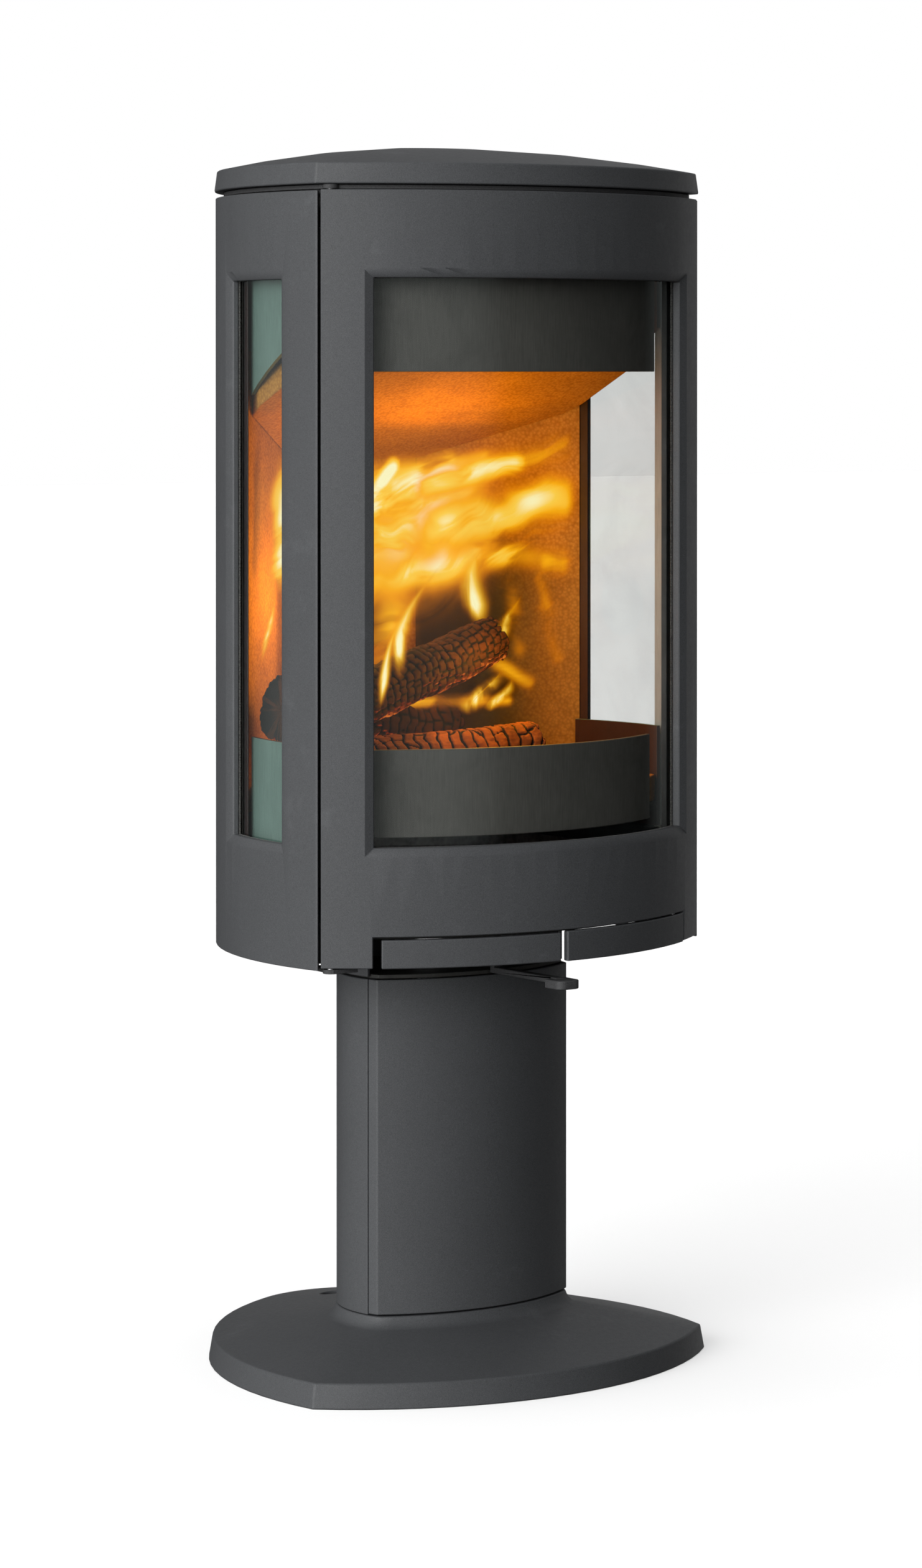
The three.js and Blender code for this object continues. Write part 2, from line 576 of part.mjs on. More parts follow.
function addBackWall() {
  const { z0, z1, t, flatX, flatY } = BACK_WALL;
  add('back_brick_centre', box(-flatX, flatX, flatY, flatY + t, z0, z1), vermiculite());

  const [end, bend] = backWallLine(0);
  const [endBack, bendBack] = backWallLine(t);
  const out = end.clone().sub(bend).normalize();
  const shift = out.clone().multiplyScalar(0.5);
  const brick = insideFirebox(prism([
    bend.clone().add(shift),
    end.clone().addScaledVector(out, t),
    endBack.clone().addScaledVector(out, t),
    bendBack.clone().add(shift),
  ], z0, z1), FIREBOX_FRONT.bricks, BEHIND_SIDE_GLASS);
  add('back_brick_right', brick, vermiculite());
  add('back_brick_left', mirrorX(brick), vermiculite());

  const liner0 = t + LINER.behindBrick;
  const linerPath = (depth) => {
    const [e, b] = backWallLine(depth);
    const far = e.clone().addScaledVector(out, t);
    return [far, b, new THREE.Vector2(-b.x, b.y), new THREE.Vector2(-far.x, far.y)];
  };
  const sheet = prism(
    [...linerPath(liner0), ...linerPath(liner0 + LINER.t).reverse()],
    FLOOR.z1 + GAP,
    BODY_TOP.ledge.z0 - 1,
  );
  const liner = insideFirebox(sheet, LINER.frontDepth, SIDE.r - PANEL_T - 1.5)
    .subtract(rodY(0, FLUE.z, FLUE.r, flatY, FLUE.y1, 48));
  add('firebox_back', liner, blackSteel());

  // An oval blanking cover over a spare opening in the back wall.
  const { halfX, halfZ } = OVAL_COVER;
  const oval = new THREE.Shape().absellipse(0, 0, halfX, halfZ, 0, 2 * Math.PI);
  const extrusion = { depth: OVAL_COVER.t, bevelEnabled: false, curveSegments: 24 };
  const cover = new THREE.ExtrudeGeometry(oval, extrusion);
  cover.rotateX(Math.PI / 2).translate(0, flatY - GAP, OVAL_COVER.z);
  add('oval_cover', toSolid(cover), darkCast());

  const spigot = rodY(0, FLUE.z, FLUE.r + FLUE.wall, FLUE.y0, FLUE.y1, 48)
    .subtract(rodY(0, FLUE.z, FLUE.r, FLUE.y0 - PAST, FLUE.y1 + PAST, 48));
  add('flue_spigot', spigot, darkCast());
}

// A sloping plate that rises towards the front.
function slopingPlate(outline, thickness) {
  const { frontY, frontZ, slope } = BAFFLE;
  const extrusion = { depth: thickness, bevelEnabled: false };
  const geometry = new THREE.ExtrudeGeometry(new THREE.Shape(outline), extrusion);
  const lowered = frontZ - slope * frontY;
  const shear = new THREE.Matrix4().set(1, 0, 0, 0, 0, 1, 0, 0, 0, slope, 1, lowered, 0, 0, 0, 1);
  return toSolid(geometry.applyMatrix4(shear));
}

function addBaffle() {
  const corner = (x, y) => new THREE.Vector2(x, y);
  const { frontY } = BAFFLE;
  const { flatX, flatY, sideX, sideY } = BACK_WALL;
  const wallSlope = (flatY - sideY) / (flatX - sideX);
  const rearCorner = flatY - 1 + (BAFFLE.x - flatX) * wallSlope;
  const outline = [corner(-BAFFLE.x, frontY), corner(BAFFLE.x, frontY), corner(BAFFLE.x, rearCorner),
    corner(flatX, flatY - 1), corner(-flatX, flatY - 1), corner(-BAFFLE.x, rearCorner)];
  add('baffle', insideFirebox(slopingPlate(outline, BAFFLE.t)), vermiculite());
}

function addFireboxFront() {
  const frame = FRONT_FRAME;
  const [outerTurn, innerTurn] = [frontAngle(frame.x), frontAngle(frame.openX)];
  const ring = frontWall(frame.d0, frame.d1, -outerTurn, outerTurn, frame.z0, frame.z1)
    .subtract(frontWall(frame.d0 - PAST, frame.d1 + PAST, -innerTurn, innerTurn, frame.openZ0, frame.openZ1))
    .intersect(disc(SIDE, SIDE.r - PANEL_T - 1))
    .intersect(disc(SIDE, SIDE.r - PANEL_T - 1, -SIDE.x));
  add('firebox_front_frame', ring, blackSteel());

  const plate = ({ d0, d1, x, z0, z1 }) => frontWall(d0, d1, -frontAngle(x), frontAngle(x), z0, z1);
  add('log_retainer', plate(RETAINER), blackSteel());
  add('front_deflector', plate(DEFLECTOR), blackSteel());
}

function addFireboxFloor() {
  const [end, bend] = backWallLine(-PAST);
  const outside = [-FRONT.r, end.y - BACK_WALL.t].map((y) => new THREE.Vector2(FRONT.r, y));
  const side = [...outside, end, bend];
  const room = [...side, ...mirrored(side)];

  const { z0, z1, holeX, holeY0, holeY1 } = FIREBOX_FLOOR;
  const plate = insideFirebox(prism(room, z0, z1), FIREBOX_FRONT.floor)
    .subtract(box(-holeX, holeX, holeY0, holeY1, z0 - PAST, z1 + PAST));
  add('firebox_floor', plate, blackSteel());

  const bricks = insideFirebox(prism(room, BRICK_FLOOR.z0, BRICK_FLOOR.z1));
  const columns = (x0, x1) => box(x0, x1, -FRONT.r, FRONT.r, ALL_HEIGHTS.z0, ALL_HEIGHTS.z1);
  const right = bricks.intersect(columns(GRATE.halfX + GAP, FRONT.r));
  add('floor_brick_right', right, vermiculite());
  add('floor_brick_left', mirrorX(right), vermiculite());

  const { slots, slotHalf, y0, y1 } = GRATE;
  const pitch = 2 * GRATE.halfX / slots;
  const [low, high] = [BRICK_FLOOR.z0 - PAST, BRICK_FLOOR.z1 + PAST];
  let grate = bricks.intersect(columns(-GRATE.halfX, GRATE.halfX));
  for (let i = 0; i < slots; i += 1) {
    const x = -GRATE.halfX + pitch * (i + 0.5);
    grate = grate.subtract(box(x - slotHalf, x + slotHalf, y0, y1, low, high));
  }
  add('grate', grate, darkCast());
}

function addAshPan() {
  const { halfX: x, y0, y1, z1, sheet, lipHalfX, lipOut } = ASH_PAN;
  const z0 = FLOOR.z1 + GAP;
  const pan = box(-x, x, y0, y1, z0, z1)
    .subtract(box(-x + sheet, x - sheet, y0 + sheet, y1 - sheet, z0 + sheet, z1 + PAST));
  const lip = box(-lipHalfX, lipHalfX, y0 - lipOut, y0 + PAST, z1 - sheet, z1);
  add('ash_pan', pan.add(lip), steel());
}

// A log is a round billet with flats, between two end points.
function log({ from, to, r, sides }) {
  const [a, b] = [new THREE.Vector3(...from), new THREE.Vector3(...to)];
  const geometry = new THREE.CylinderGeometry(r * LOG_TAPER, r, a.distanceTo(b), sides);
  const along = b.clone().sub(a).normalize();
  const turn = new THREE.Quaternion().setFromUnitVectors(new THREE.Vector3(0, 1, 0), along);
  const middle = a.clone().add(b).divideScalar(2);
  geometry.applyQuaternion(turn).translate(middle.x, middle.y, middle.z);
  return toSolid(geometry);
}

function addLogs() {
  LOGS.forEach((shape) => add(shape.name, log(shape), burntWood()));
}

// ---- door ---------------------------------------------------------------------------------------
function doorPlate() {
  const edgeTurn = CORNER_TURN - DOOR.cornerGap / FRONT.r;
  const windowTurn = frontAngle(DOOR_WINDOW.x);
  const notchTurn = frontAngle(DOOR_NOTCH.x);
  const middle = -Math.PI / 2;
  const pivot = onCircle(FRONT.x, FRONT.y, FRONT.r - HINGE.depth, middle + frontAngle(HANDLE.pivotX));
  return frontWall(0, DOOR.t, -edgeTurn, edgeTurn, DOOR.z0, DOOR.z1)
    .subtract(windowCutter(
      FRONT, middle - windowTurn, middle + windowTurn, DOOR_WINDOW.z0, DOOR_WINDOW.z1, DOOR.t + PAST))
    .subtract(frontWall(-PAST, DOOR.t + PAST, -notchTurn, notchTurn, DOOR.z0 - PAST, DOOR_NOTCH.top))
    .subtract(post(hingePoint.x, hingePoint.y, HINGE.boreR, DOOR.z0 - PAST, DOOR.z0 + HINGE.boreL, 16))
    .subtract(post(hingePoint.x, hingePoint.y, HINGE.boreR, DOOR.z1 - HINGE.boreL, DOOR.z1 + PAST, 16))
    .subtract(post(
      pivot.x, pivot.y, HANDLE.boreR, DOOR_NOTCH.top - PAST, DOOR_NOTCH.top + HANDLE.pinL + PAST, 16));
}

function addDoor() {
  add('door_frame', doorPlate(), castPaint());

  const middle = -Math.PI / 2;
  const openTurn = frontAngle(DOOR_WINDOW.x) - BEVEL_W / FRONT.r;
  const [z0, z1] = [DOOR_WINDOW.z0 + BEVEL_W, DOOR_WINDOW.z1 - BEVEL_W];
  const tapeD = DOOR.t + GAP;
  const glassD = tapeD + TAPE_T + GAP;
  const clipD = glassD + GLASS_T + GAP;
  const lapTurn = openTurn + GLASS_LAP / FRONT.r;
  const pane = frontWall(glassD, glassD + GLASS_T, -lapTurn, lapTurn, z0 - GLASS_LAP, z1 + GLASS_LAP);
  add('door_glass', pane, clearGlass());
  const tape = bandRound(
    FRONT, tapeD, tapeD + TAPE_T, middle - openTurn, middle + openTurn, z0, z1, GLASS_LAP - 1);
  add('door_glass_seal', tape, rope());

  const [sealOut, sealIn] = [frontAngle(SEAL.x1), frontAngle(SEAL.x0)];
  const seal = frontWall(SEAL.d0, SEAL.d1, -sealOut, sealOut, SEAL.z0, SEAL.z1)
    .subtract(frontWall(SEAL.d0 - PAST, SEAL.d1 + PAST, -sealIn, sealIn, SEAL.z0 + SEAL.w, SEAL.z1 - SEAL.w));
  add('door_rope_seal', seal, rope());

  const half = CLIP.halfW / FRONT.r;
  const clip = (turn, edge, outward) => {
    const sorted = (...values) => values.sort((p, q) => p - q);
    const [a, b] = sorted(edge - outward * CLIP.over, edge + outward * CLIP.out);
    const [c, d] = sorted(edge + outward * CLIP.foot, edge + outward * CLIP.out);
    return frontWall(clipD, clipD + CLIP.t, turn - half, turn + half, a, b)
      .add(frontWall(tapeD, clipD + CLIP.t, turn - half, turn + half, c, d));
  };
  const clipTurn = frontAngle(CLIP.x);
  [['left', -clipTurn], ['right', clipTurn]].forEach(([side, turn]) => {
    add(`door_glass_clip_upper_${side}`, clip(turn, z1 + GLASS_LAP, 1), blackSteel());
    add(`door_glass_clip_lower_${side}`, clip(turn, z0 - GLASS_LAP, -1), blackSteel());
  });
}

// ---- hinges, handle and latch -------------------------------------------------------------------
function addHinges() {
  const { x, y } = hingePoint;
  const z1 = DOOR.z0 - BRACKET.belowDoor;
  const z0 = z1 - BRACKET.t;
  const arm = prism(BRACKET.outline.map(([u, v]) => new THREE.Vector2(x + u, y + v)), z0, z1);
  const bracket = post(x, y, HINGE.earR, z0, z1)
    .add(arm)
    .intersect(disc(SIDE, SIDE.r - PANEL_T - 1).add(post(x, y, HINGE.earR + 1.5, z0, z1)))
    .subtract(post(x, y, HINGE.pinR + GAP, z0 - PAST, z1 + PAST, 16));
  add('hinge_bracket_lower', bracket, darkCast());
  add('hinge_pin_lower', post(x, y, HINGE.pinR, z0, DOOR.z0 + HINGE.pinL, 16), steel());
  add('hinge_pin_upper', post(x, y, HINGE.pinR, DOOR.z1 - HINGE.pinL, BODY_TOP.z1 - GAP, 16), steel());
}

function addHandle() {
  const { x0, x1, z0, z1, t, pivotX, lugD } = HANDLE;
  const pivot = onCircle(FRONT.x, FRONT.y, FRONT.r - HINGE.depth, frontAngle(pivotX) - Math.PI / 2);
  const lug = frontWall(t - PAST, lugD, frontAngle(pivotX - 14), frontAngle(x1 - 2), z0 + 2, z1 - 1);
  const handle = frontWall(0, t, frontAngle(x0), frontAngle(x1), z0, z1)
    .add(lug)
    .subtract(post(pivot.x, pivot.y, HANDLE.boreR, z0 + 4, z1 + PAST, 16));
  add('door_handle', handle, castPaint());
  add('handle_pin', post(pivot.x, pivot.y, HANDLE.pinR, z0 + 5, DOOR_NOTCH.top + HANDLE.pinL, 16), steel());

  // Points from the pivot: sideways towards the right wall, then inwards.
  const inward = new THREE.Vector2(FRONT.x - pivot.x, FRONT.y - pivot.y).normalize();
  const sideways = new THREE.Vector2(inward.y, -inward.x);
  const at = ([u, v]) => pivot.clone().addScaledVector(sideways, u).addScaledVector(inward, v);

  // The latch's arm hangs behind the lug, and its hook passes behind the keeper's post.
  add('latch_hook', prism(LATCH.hook.map(at), LATCH.z0, LATCH.z1), steel());
  const { keeper } = LATCH;
  const postAt = at(LATCH.post.at);
  const keeperSolid = post(postAt.x, postAt.y, LATCH.post.r, LATCH.post.z0, keeper.z0 + PAST, 16)
    .add(prism(keeper.outline.map(at), keeper.z0, keeper.z1))
    .intersect(disc(SIDE, SIDE.r - PANEL_T - 2 * GAP, -SIDE.x));
  add('latch_keeper', keeperSolid, steel());
}

function addTrim() {
  const strip = frontWall(0, TRIM.t, frontAngle(TRIM.x0), frontAngle(TRIM.x1), TRIM.z0, TRIM.z1);
  add('lower_trim', strip, castPaint());
}

// ---- air control --------------------------------------------------------------------------------
function addAirControl() {
  const { pivotY, gripY, jogY, z0, z1, topZ, halfW, hubR, boreR } = LEVER;
  const t = z1 - z0;
  const hub = post(0, pivotY, hubR, topZ - t, SHUTTER.z0 - GAP);
  const arm = box(-halfW, halfW, gripY + GRIP.length - GRIP.cornerR, jogY + t, z0, z1)
    .add(box(-halfW, halfW, jogY, jogY + t, z0, topZ))
    .add(box(-halfW, halfW, jogY, pivotY, topZ - t, topZ));
  const shape = new THREE.Shape();
  const [x, r, y, end] = [GRIP.halfW, GRIP.cornerR, gripY + GRIP.cornerR, gripY + GRIP.length];
  shape.moveTo(-x, end);
  shape.lineTo(-x, y);
  shape.absarc(r - x, y, r, Math.PI, 1.5 * Math.PI);
  shape.lineTo(x - r, gripY);
  shape.absarc(x - r, y, r, 1.5 * Math.PI, 2 * Math.PI);
  shape.lineTo(x, end);
  const grip = prism(shape.getPoints(5), GRIP.z0, GRIP.z1);
  const bore = post(0, pivotY, boreR, topZ - t - PAST, SHUTTER.z1 + PAST, 16);
  add('air_lever', arm.add(grip).add(hub).subtract(bore), darkCast());

  let shutter = post(0, pivotY, SHUTTER.r, SHUTTER.z0, SHUTTER.z1).subtract(bore);
  for (let i = 0; i < SHUTTER.ports; i += 1) {
    const p = onCircle(0, pivotY, SHUTTER.portAt, (2 * Math.PI * (i + 0.5)) / SHUTTER.ports);
    shutter = shutter.subtract(post(p.x, p.y, SHUTTER.portR, SHUTTER.z0 - PAST, SHUTTER.z1 + PAST, 12));
  }
  add('air_shutter', shutter, steel());

  const headZ = topZ - t - PAST;
  const pin = post(0, pivotY, LEVER_PIN.r, headZ - PAST, FLOOR.z0 - GAP, 16)
    .add(post(0, pivotY, LEVER_PIN.headR, headZ - LEVER_PIN.headT, headZ, 16));
  add('lever_pin', pin, steel());
}

addBase();
addPedestal();
addCasing();
addTopPlate();
addSideGlass();
addBackWall();
addBaffle();
addFireboxFront();
addFireboxFloor();
addAshPan();
addLogs();
addDoor();
addHinges();
addHandle();
addTrim();
addAirControl();

export default stove;
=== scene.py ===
"""Wood burning stove: its looks, the light and the camera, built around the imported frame.

Metres, +Z up. The front of the stove looks along -Y, and the origin is on the floor below its middle.
"""

import json
import math
import random

import bmesh
import bpy
import numpy as np
from mathutils import Euler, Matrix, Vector, noise


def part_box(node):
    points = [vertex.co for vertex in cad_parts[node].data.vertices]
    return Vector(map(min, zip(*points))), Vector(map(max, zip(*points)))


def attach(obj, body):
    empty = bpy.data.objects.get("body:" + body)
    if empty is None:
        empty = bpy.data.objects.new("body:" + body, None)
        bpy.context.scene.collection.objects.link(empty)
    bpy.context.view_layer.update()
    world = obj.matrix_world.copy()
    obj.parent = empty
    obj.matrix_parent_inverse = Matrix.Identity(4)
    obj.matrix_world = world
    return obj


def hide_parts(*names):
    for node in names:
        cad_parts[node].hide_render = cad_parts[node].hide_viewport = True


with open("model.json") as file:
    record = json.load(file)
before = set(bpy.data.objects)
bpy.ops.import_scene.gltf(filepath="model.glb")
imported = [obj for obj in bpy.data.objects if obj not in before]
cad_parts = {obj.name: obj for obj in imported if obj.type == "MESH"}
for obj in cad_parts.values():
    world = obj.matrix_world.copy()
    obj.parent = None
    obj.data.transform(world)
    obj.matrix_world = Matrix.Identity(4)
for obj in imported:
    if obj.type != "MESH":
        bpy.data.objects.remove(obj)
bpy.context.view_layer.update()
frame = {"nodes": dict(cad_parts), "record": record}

MM = 0.001
NODES = frame["nodes"]
BODIES = frame["record"]["behaviour"]["bodies"]
BODY_OF = {node: body for body, nodes in BODIES.items() for node in nodes}
COLLECTION = bpy.context.scene.collection
SHARP = math.radians(30)               # two faces that turn by more than this meet in an edge
ROUNDED_OVER = math.radians(32)        # and an edge that turns by more than this is rounded


# ---- node graphs ---------------------------------------------------------------------------------
class Graph:
    """A material with a Principled shader, and short calls for the nodes that feed it."""

    def __init__(self, name):
        self.material = bpy.data.materials.new(name)
        self.material.use_nodes = True
        self.tree = self.material.node_tree
        self.shader = self.tree.nodes["Principled BSDF"]
        self.output = self.tree.nodes["Material Output"]
        self.place = self.node("ShaderNodeTexCoord").outputs["Object"]

    def node(self, kind, inputs=None, **settings):
        made = self.tree.nodes.new(kind)
        for key, value in settings.items():
            setattr(made, key, value)
        for key, value in (inputs or {}).items():
            self.feed(made.inputs[key], value)
        return made

    def feed(self, socket, value):
        if isinstance(value, bpy.types.NodeSocket):
            self.tree.links.new(value, socket)
        else:
            socket.default_value = value

    def set(self, **values):
        """Shader sockets by name, with _ for a space."""
        for key, value in values.items():
            self.feed(self.shader.inputs[key.replace("_", " ")], value)

    def stretched(self, scale):
        return self.node("ShaderNodeMapping", {"Vector": self.place, "Scale": scale}).outputs["Vector"]

    def noise(self, scale, detail=4.0, roughness=0.55, distortion=0.0, place=None):
        made = self.node("ShaderNodeTexNoise", {
            "Vector": place or self.place, "Scale": scale, "Detail": detail,
            "Roughness": roughness, "Distortion": distortion,
        })
        return made.outputs["Fac"]

    def cells(self, scale, randomness=1.0):
        """Distance to the nearest of a scatter of points."""
        made = self.node("ShaderNodeTexVoronoi", feature="F1")
        self.feed(made.inputs["Vector"], self.place)
        self.feed(made.inputs["Scale"], scale)
        self.feed(made.inputs["Randomness"], randomness)
        return made.outputs["Distance"]

    def ramp(self, value, stops):
        """Colour that follows a value; stops are (position, colour)."""
        made = self.node("ShaderNodeValToRGB", {"Fac": value})
        ramp = made.color_ramp
        while len(ramp.elements) < len(stops):
            ramp.elements.new(0.5)
        for element, (position, colour) in zip(ramp.elements, stops):
            element.position = position
            element.color = (*colour, 1)
        return made.outputs["Color"]

    def span(self, value, low, high, to_low=0.0, to_high=1.0, smooth=False):
        made = self.node("ShaderNodeMapRange", interpolation_type="SMOOTHSTEP" if smooth else "LINEAR")
        for key, number in zip(("Value", "From Min", "From Max", "To Min", "To Max"),
                               (value, low, high, to_low, to_high)):
            self.feed(made.inputs[key], number)
        return made.outputs["Result"]

    def math(self, operation, a, b=0.0):
        made = self.node("ShaderNodeMath", operation=operation)
        self.feed(made.inputs[0], a)
        self.feed(made.inputs[1], b)
        return made.outputs["Value"]

    def blend(self, amount, a, b, mode="MIX"):
        made = self.node("ShaderNodeMix", data_type="RGBA", blend_type=mode)
        self.feed(made.inputs[0], amount)
        for socket, value in ((made.inputs[6], a), (made.inputs[7], b)):
            self.feed(socket, value if isinstance(value, bpy.types.NodeSocket) else (*value, 1))
        return made.outputs[2]

    def bump(self, height, strength, distance, under=None):
        made = self.node("ShaderNodeBump", {"Height": height, "Strength": strength, "Distance": distance})
        if under is not None:
            self.feed(made.inputs["Normal"], under)
        return made.outputs["Normal"]

    def attribute(self, name):
        return self.node("ShaderNodeAttribute", attribute_name=name).outputs["Fac"]

    def axis(self, name):
        return self.node("ShaderNodeSeparateXYZ", {"Vector": self.place}).outputs[name]


# ---- materials -----------------------------------------------------------------------------------
def painted_casting(name, colour, roughness, grain=1.0):
    """Heat-proof paint over a sand casting: fine grain, faint cloudiness and a few rubbed spots."""
    g = Graph(name)
    cloud = g.noise(9, 5, 0.6)
    grain_value = g.noise(1500, 2, 0.6)
    skin = g.noise(210, 4, 0.65)
    dark, light = ([c * k for c in colour] for k in (0.86, 1.12))
    base = g.blend(cloud, dark, light)
    pit, peak = g.blend(0.16, base, (0, 0, 0)), g.blend(0.05, base, (0.6, 0.62, 0.65))
    base = g.blend(g.span(grain_value, 0.35, 0.68), pit, peak)
    rubbed = g.span(g.math("MULTIPLY", g.noise(34, 6, 0.7), g.noise(5, 2)), 0.34, 0.46)
    base = g.blend(g.math("MULTIPLY", rubbed, 0.12), base, (0.2, 0.21, 0.22))
    uneven = g.math("ADD", skin, g.math("MULTIPLY", cloud, 0.5))
    rough = g.span(uneven, 0.4, 1.1, roughness - 0.07, roughness + 0.08)
    normal = g.bump(skin, 0.16 * grain, 0.4 * MM)
    normal = g.bump(grain_value, 0.3 * grain, 0.12 * MM, normal)
    g.set(Base_Color=base, Roughness=rough, Normal=normal, Specular_IOR_Level=0.42)
    return g.material


def sheet_steel(name, colour, roughness, sooty=0.5, relief=0.12):
    """Folded sheet: long faint rolling marks under soot and heat stains."""
    g = Graph(name)
    rolled = g.noise(30, 3, 0.5, place=g.stretched((40, 40, 1.6)))
    dark_mask = g.noise(16, 6, 0.7, 0.6)
    base = g.blend(g.span(rolled, 0.3, 0.7), [c * 0.85 for c in colour], [c * 1.15 for c in colour])
    base = g.blend(g.math("MULTIPLY", g.span(dark_mask, 0.42, 0.68), sooty), base, [c * 0.4 for c in colour])
    rough = g.span(dark_mask, 0.3, 0.7, roughness - 0.08, min(1.0, roughness + 0.14))
    normal = g.bump(dark_mask, relief, 0.3 * MM, g.bump(g.noise(900, 2), relief, 0.1 * MM))
    g.set(Base_Color=base, Roughness=rough, Normal=normal)
    return g.material


def turned_steel(name, colour):
    """Zinc-plated steel: fine lines round the part and a mottled spangle."""
    g = Graph(name)
    lines = g.noise(60, 3, 0.6, place=g.stretched((1, 1, 60)))
    spangle = g.cells(180)
    base = g.blend(g.span(spangle, 0.0, 0.9), [c * 0.8 for c in colour], [c * 1.15 for c in colour])
    base = g.blend(g.math("MULTIPLY", g.span(g.noise(22, 6, 0.7), 0.45, 0.7), 0.45), base, (0.08, 0.07, 0.06))
    g.set(Base_Color=base, Roughness=g.span(lines, 0.3, 0.7, 0.3, 0.5), Metallic=1.0,
          Normal=g.bump(lines, 0.12, 0.15 * MM))
    return g.material


def glass_pane(name, passing, mirrored):
    """Clear ceramic glass: what is behind it shows, and the face towards the eye mirrors more at a slant."""
    g = Graph(name)
    g.tree.nodes.remove(g.shader)
    smear = g.noise(7, 6, 0.65, 0.8)
    clear = g.node("ShaderNodeBsdfTransparent")
    g.feed(clear.inputs["Color"], g.blend(g.span(smear, 0.4, 0.75), passing, [c * 0.95 for c in passing]))
    mirror = g.node("ShaderNodeBsdfGlossy", {"Color": (*mirrored, 1), "Roughness": 0.03})
    outside = g.math("SUBTRACT", 1.0, g.node("ShaderNodeNewGeometry").outputs["Backfacing"])
    share = g.math("MULTIPLY", g.node("ShaderNodeFresnel", {"IOR": 1.54}).outputs["Fac"], outside)
    mixed = g.node("ShaderNodeMixShader", {0: share, 1: clear.outputs[0], 2: mirror.outputs[0]})
    g.feed(g.output.inputs["Surface"], mixed.outputs[0])
    return g.material


def braided_rope(name):
    """Glass-fibre rope: a close braid of small bright dots on black."""
    g = Graph(name)
    weave = g.cells(620, randomness=0.25)
    fibre = g.noise(1800, 3, 0.7)
    base = g.blend(g.span(weave, 0.25, 0.6), (0.11, 0.11, 0.10), (0.008, 0.008, 0.008))
    base = g.blend(g.math("MULTIPLY", fibre, 0.3), base, (0.02, 0.02, 0.02))
    g.set(Base_Color=base, Roughness=0.95, Sheen_Weight=0.15,
          Normal=g.bump(g.math("SUBTRACT", 1.0, weave), 0.8, 0.8 * MM, g.bump(fibre, 0.4, 0.3 * MM)))
    return g.material


def vermiculite_board(name, dark_below=None, dark_rise=0.0):
    """Pressed vermiculite: golden flakes in a tan board, made darker below a given height in metres, more on
    one side.
    """
    g = Graph(name)
    flakes = g.cells(330)
    tone = g.noise(26, 6, 0.7)
    base = g.blend(g.span(flakes, 0.1, 0.8), (0.62, 0.31, 0.055), (0.42, 0.19, 0.03))
    base = g.blend(g.span(tone, 0.35, 0.7), base, g.blend(1.0, base, (0.78, 0.74, 0.66), "MULTIPLY"))
    if dark_below is not None:
        # darker towards the bottom, below the given height, with a ragged edge that rises towards +X and
        # fades beyond about x = 0.2 m
        wander = g.noise(7, 5, 0.6, 0.7)
        height = g.math("ADD", g.axis("Z"), g.math("MULTIPLY", wander, 0.16))
        height = g.math("ADD", height, g.math("MULTIPLY", g.axis("X"), -dark_rise))
        dark_mask = g.span(height, dark_below - 0.03, dark_below + 0.10, 1.0, 0.0, smooth=True)
        dark_mask = g.math("MULTIPLY", dark_mask, g.span(g.axis("X"), 0.135, 0.195, 0.96, 0.45, smooth=True))
        base = g.blend(dark_mask, base, (0.030, 0.031, 0.013))
    pores = g.bump(flakes, 0.5, 0.5 * MM, g.bump(g.noise(90, 5, 0.7), 0.35, 0.8 * MM))
    g.set(Base_Color=base, Roughness=0.93, Specular_IOR_Level=0.2, Normal=pores)
    return g.material


def charred_wood(name, char, bark):
    """Burning log: blocks of char or bark parted by black cracks, with a glow on its underside."""
    g = Graph(name)
    crack = g.attribute("crack")
    fibre = g.noise(1.0, 5, 0.65, place=g.stretched((60, 260, 260)))
    patch = g.span(g.noise(26, 5, 0.65), 0.38, 0.60)
    block = g.blend(patch, char, bark)
    block = g.blend(g.span(fibre, 0.35, 0.68), [c * 0.45 for c in bark], block)
    ash = g.math("MULTIPLY", g.span(g.noise(120, 6, 0.75), 0.60, 0.74), g.span(crack, 0.0, 0.25, 1.0, 0.0))
    block = g.blend(g.math("MULTIPLY", ash, 0.18), block, (0.30, 0.17, 0.08))
    base = g.blend(g.span(crack, 0.05, 0.45, smooth=True), block, (0.003, 0.002, 0.002))
    facing = g.node("ShaderNodeNewGeometry").outputs["Normal"]
    upward = g.node("ShaderNodeSeparateXYZ", {"Vector": facing}).outputs["Z"]
    down = g.span(upward, -0.35, -0.8, smooth=True)
    glow = g.math("MULTIPLY", down, g.span(g.noise(60, 5, 0.65, 0.5), 0.44, 0.62))
    g.set(Base_Color=base, Roughness=0.85, Specular_IOR_Level=0.3,
          Normal=g.bump(fibre, 0.5, 1.0 * MM, g.bump(g.noise(260, 5, 0.75), 0.5, 1.0 * MM)),
          Emission_Color=g.ramp(glow, [
              (0.0, (0, 0, 0)), (0.4, (0.30, 0.03, 0.003)), (1.0, (1.0, 0.25, 0.03)),
          ]),
          Emission_Strength=0.8)
    return g.material


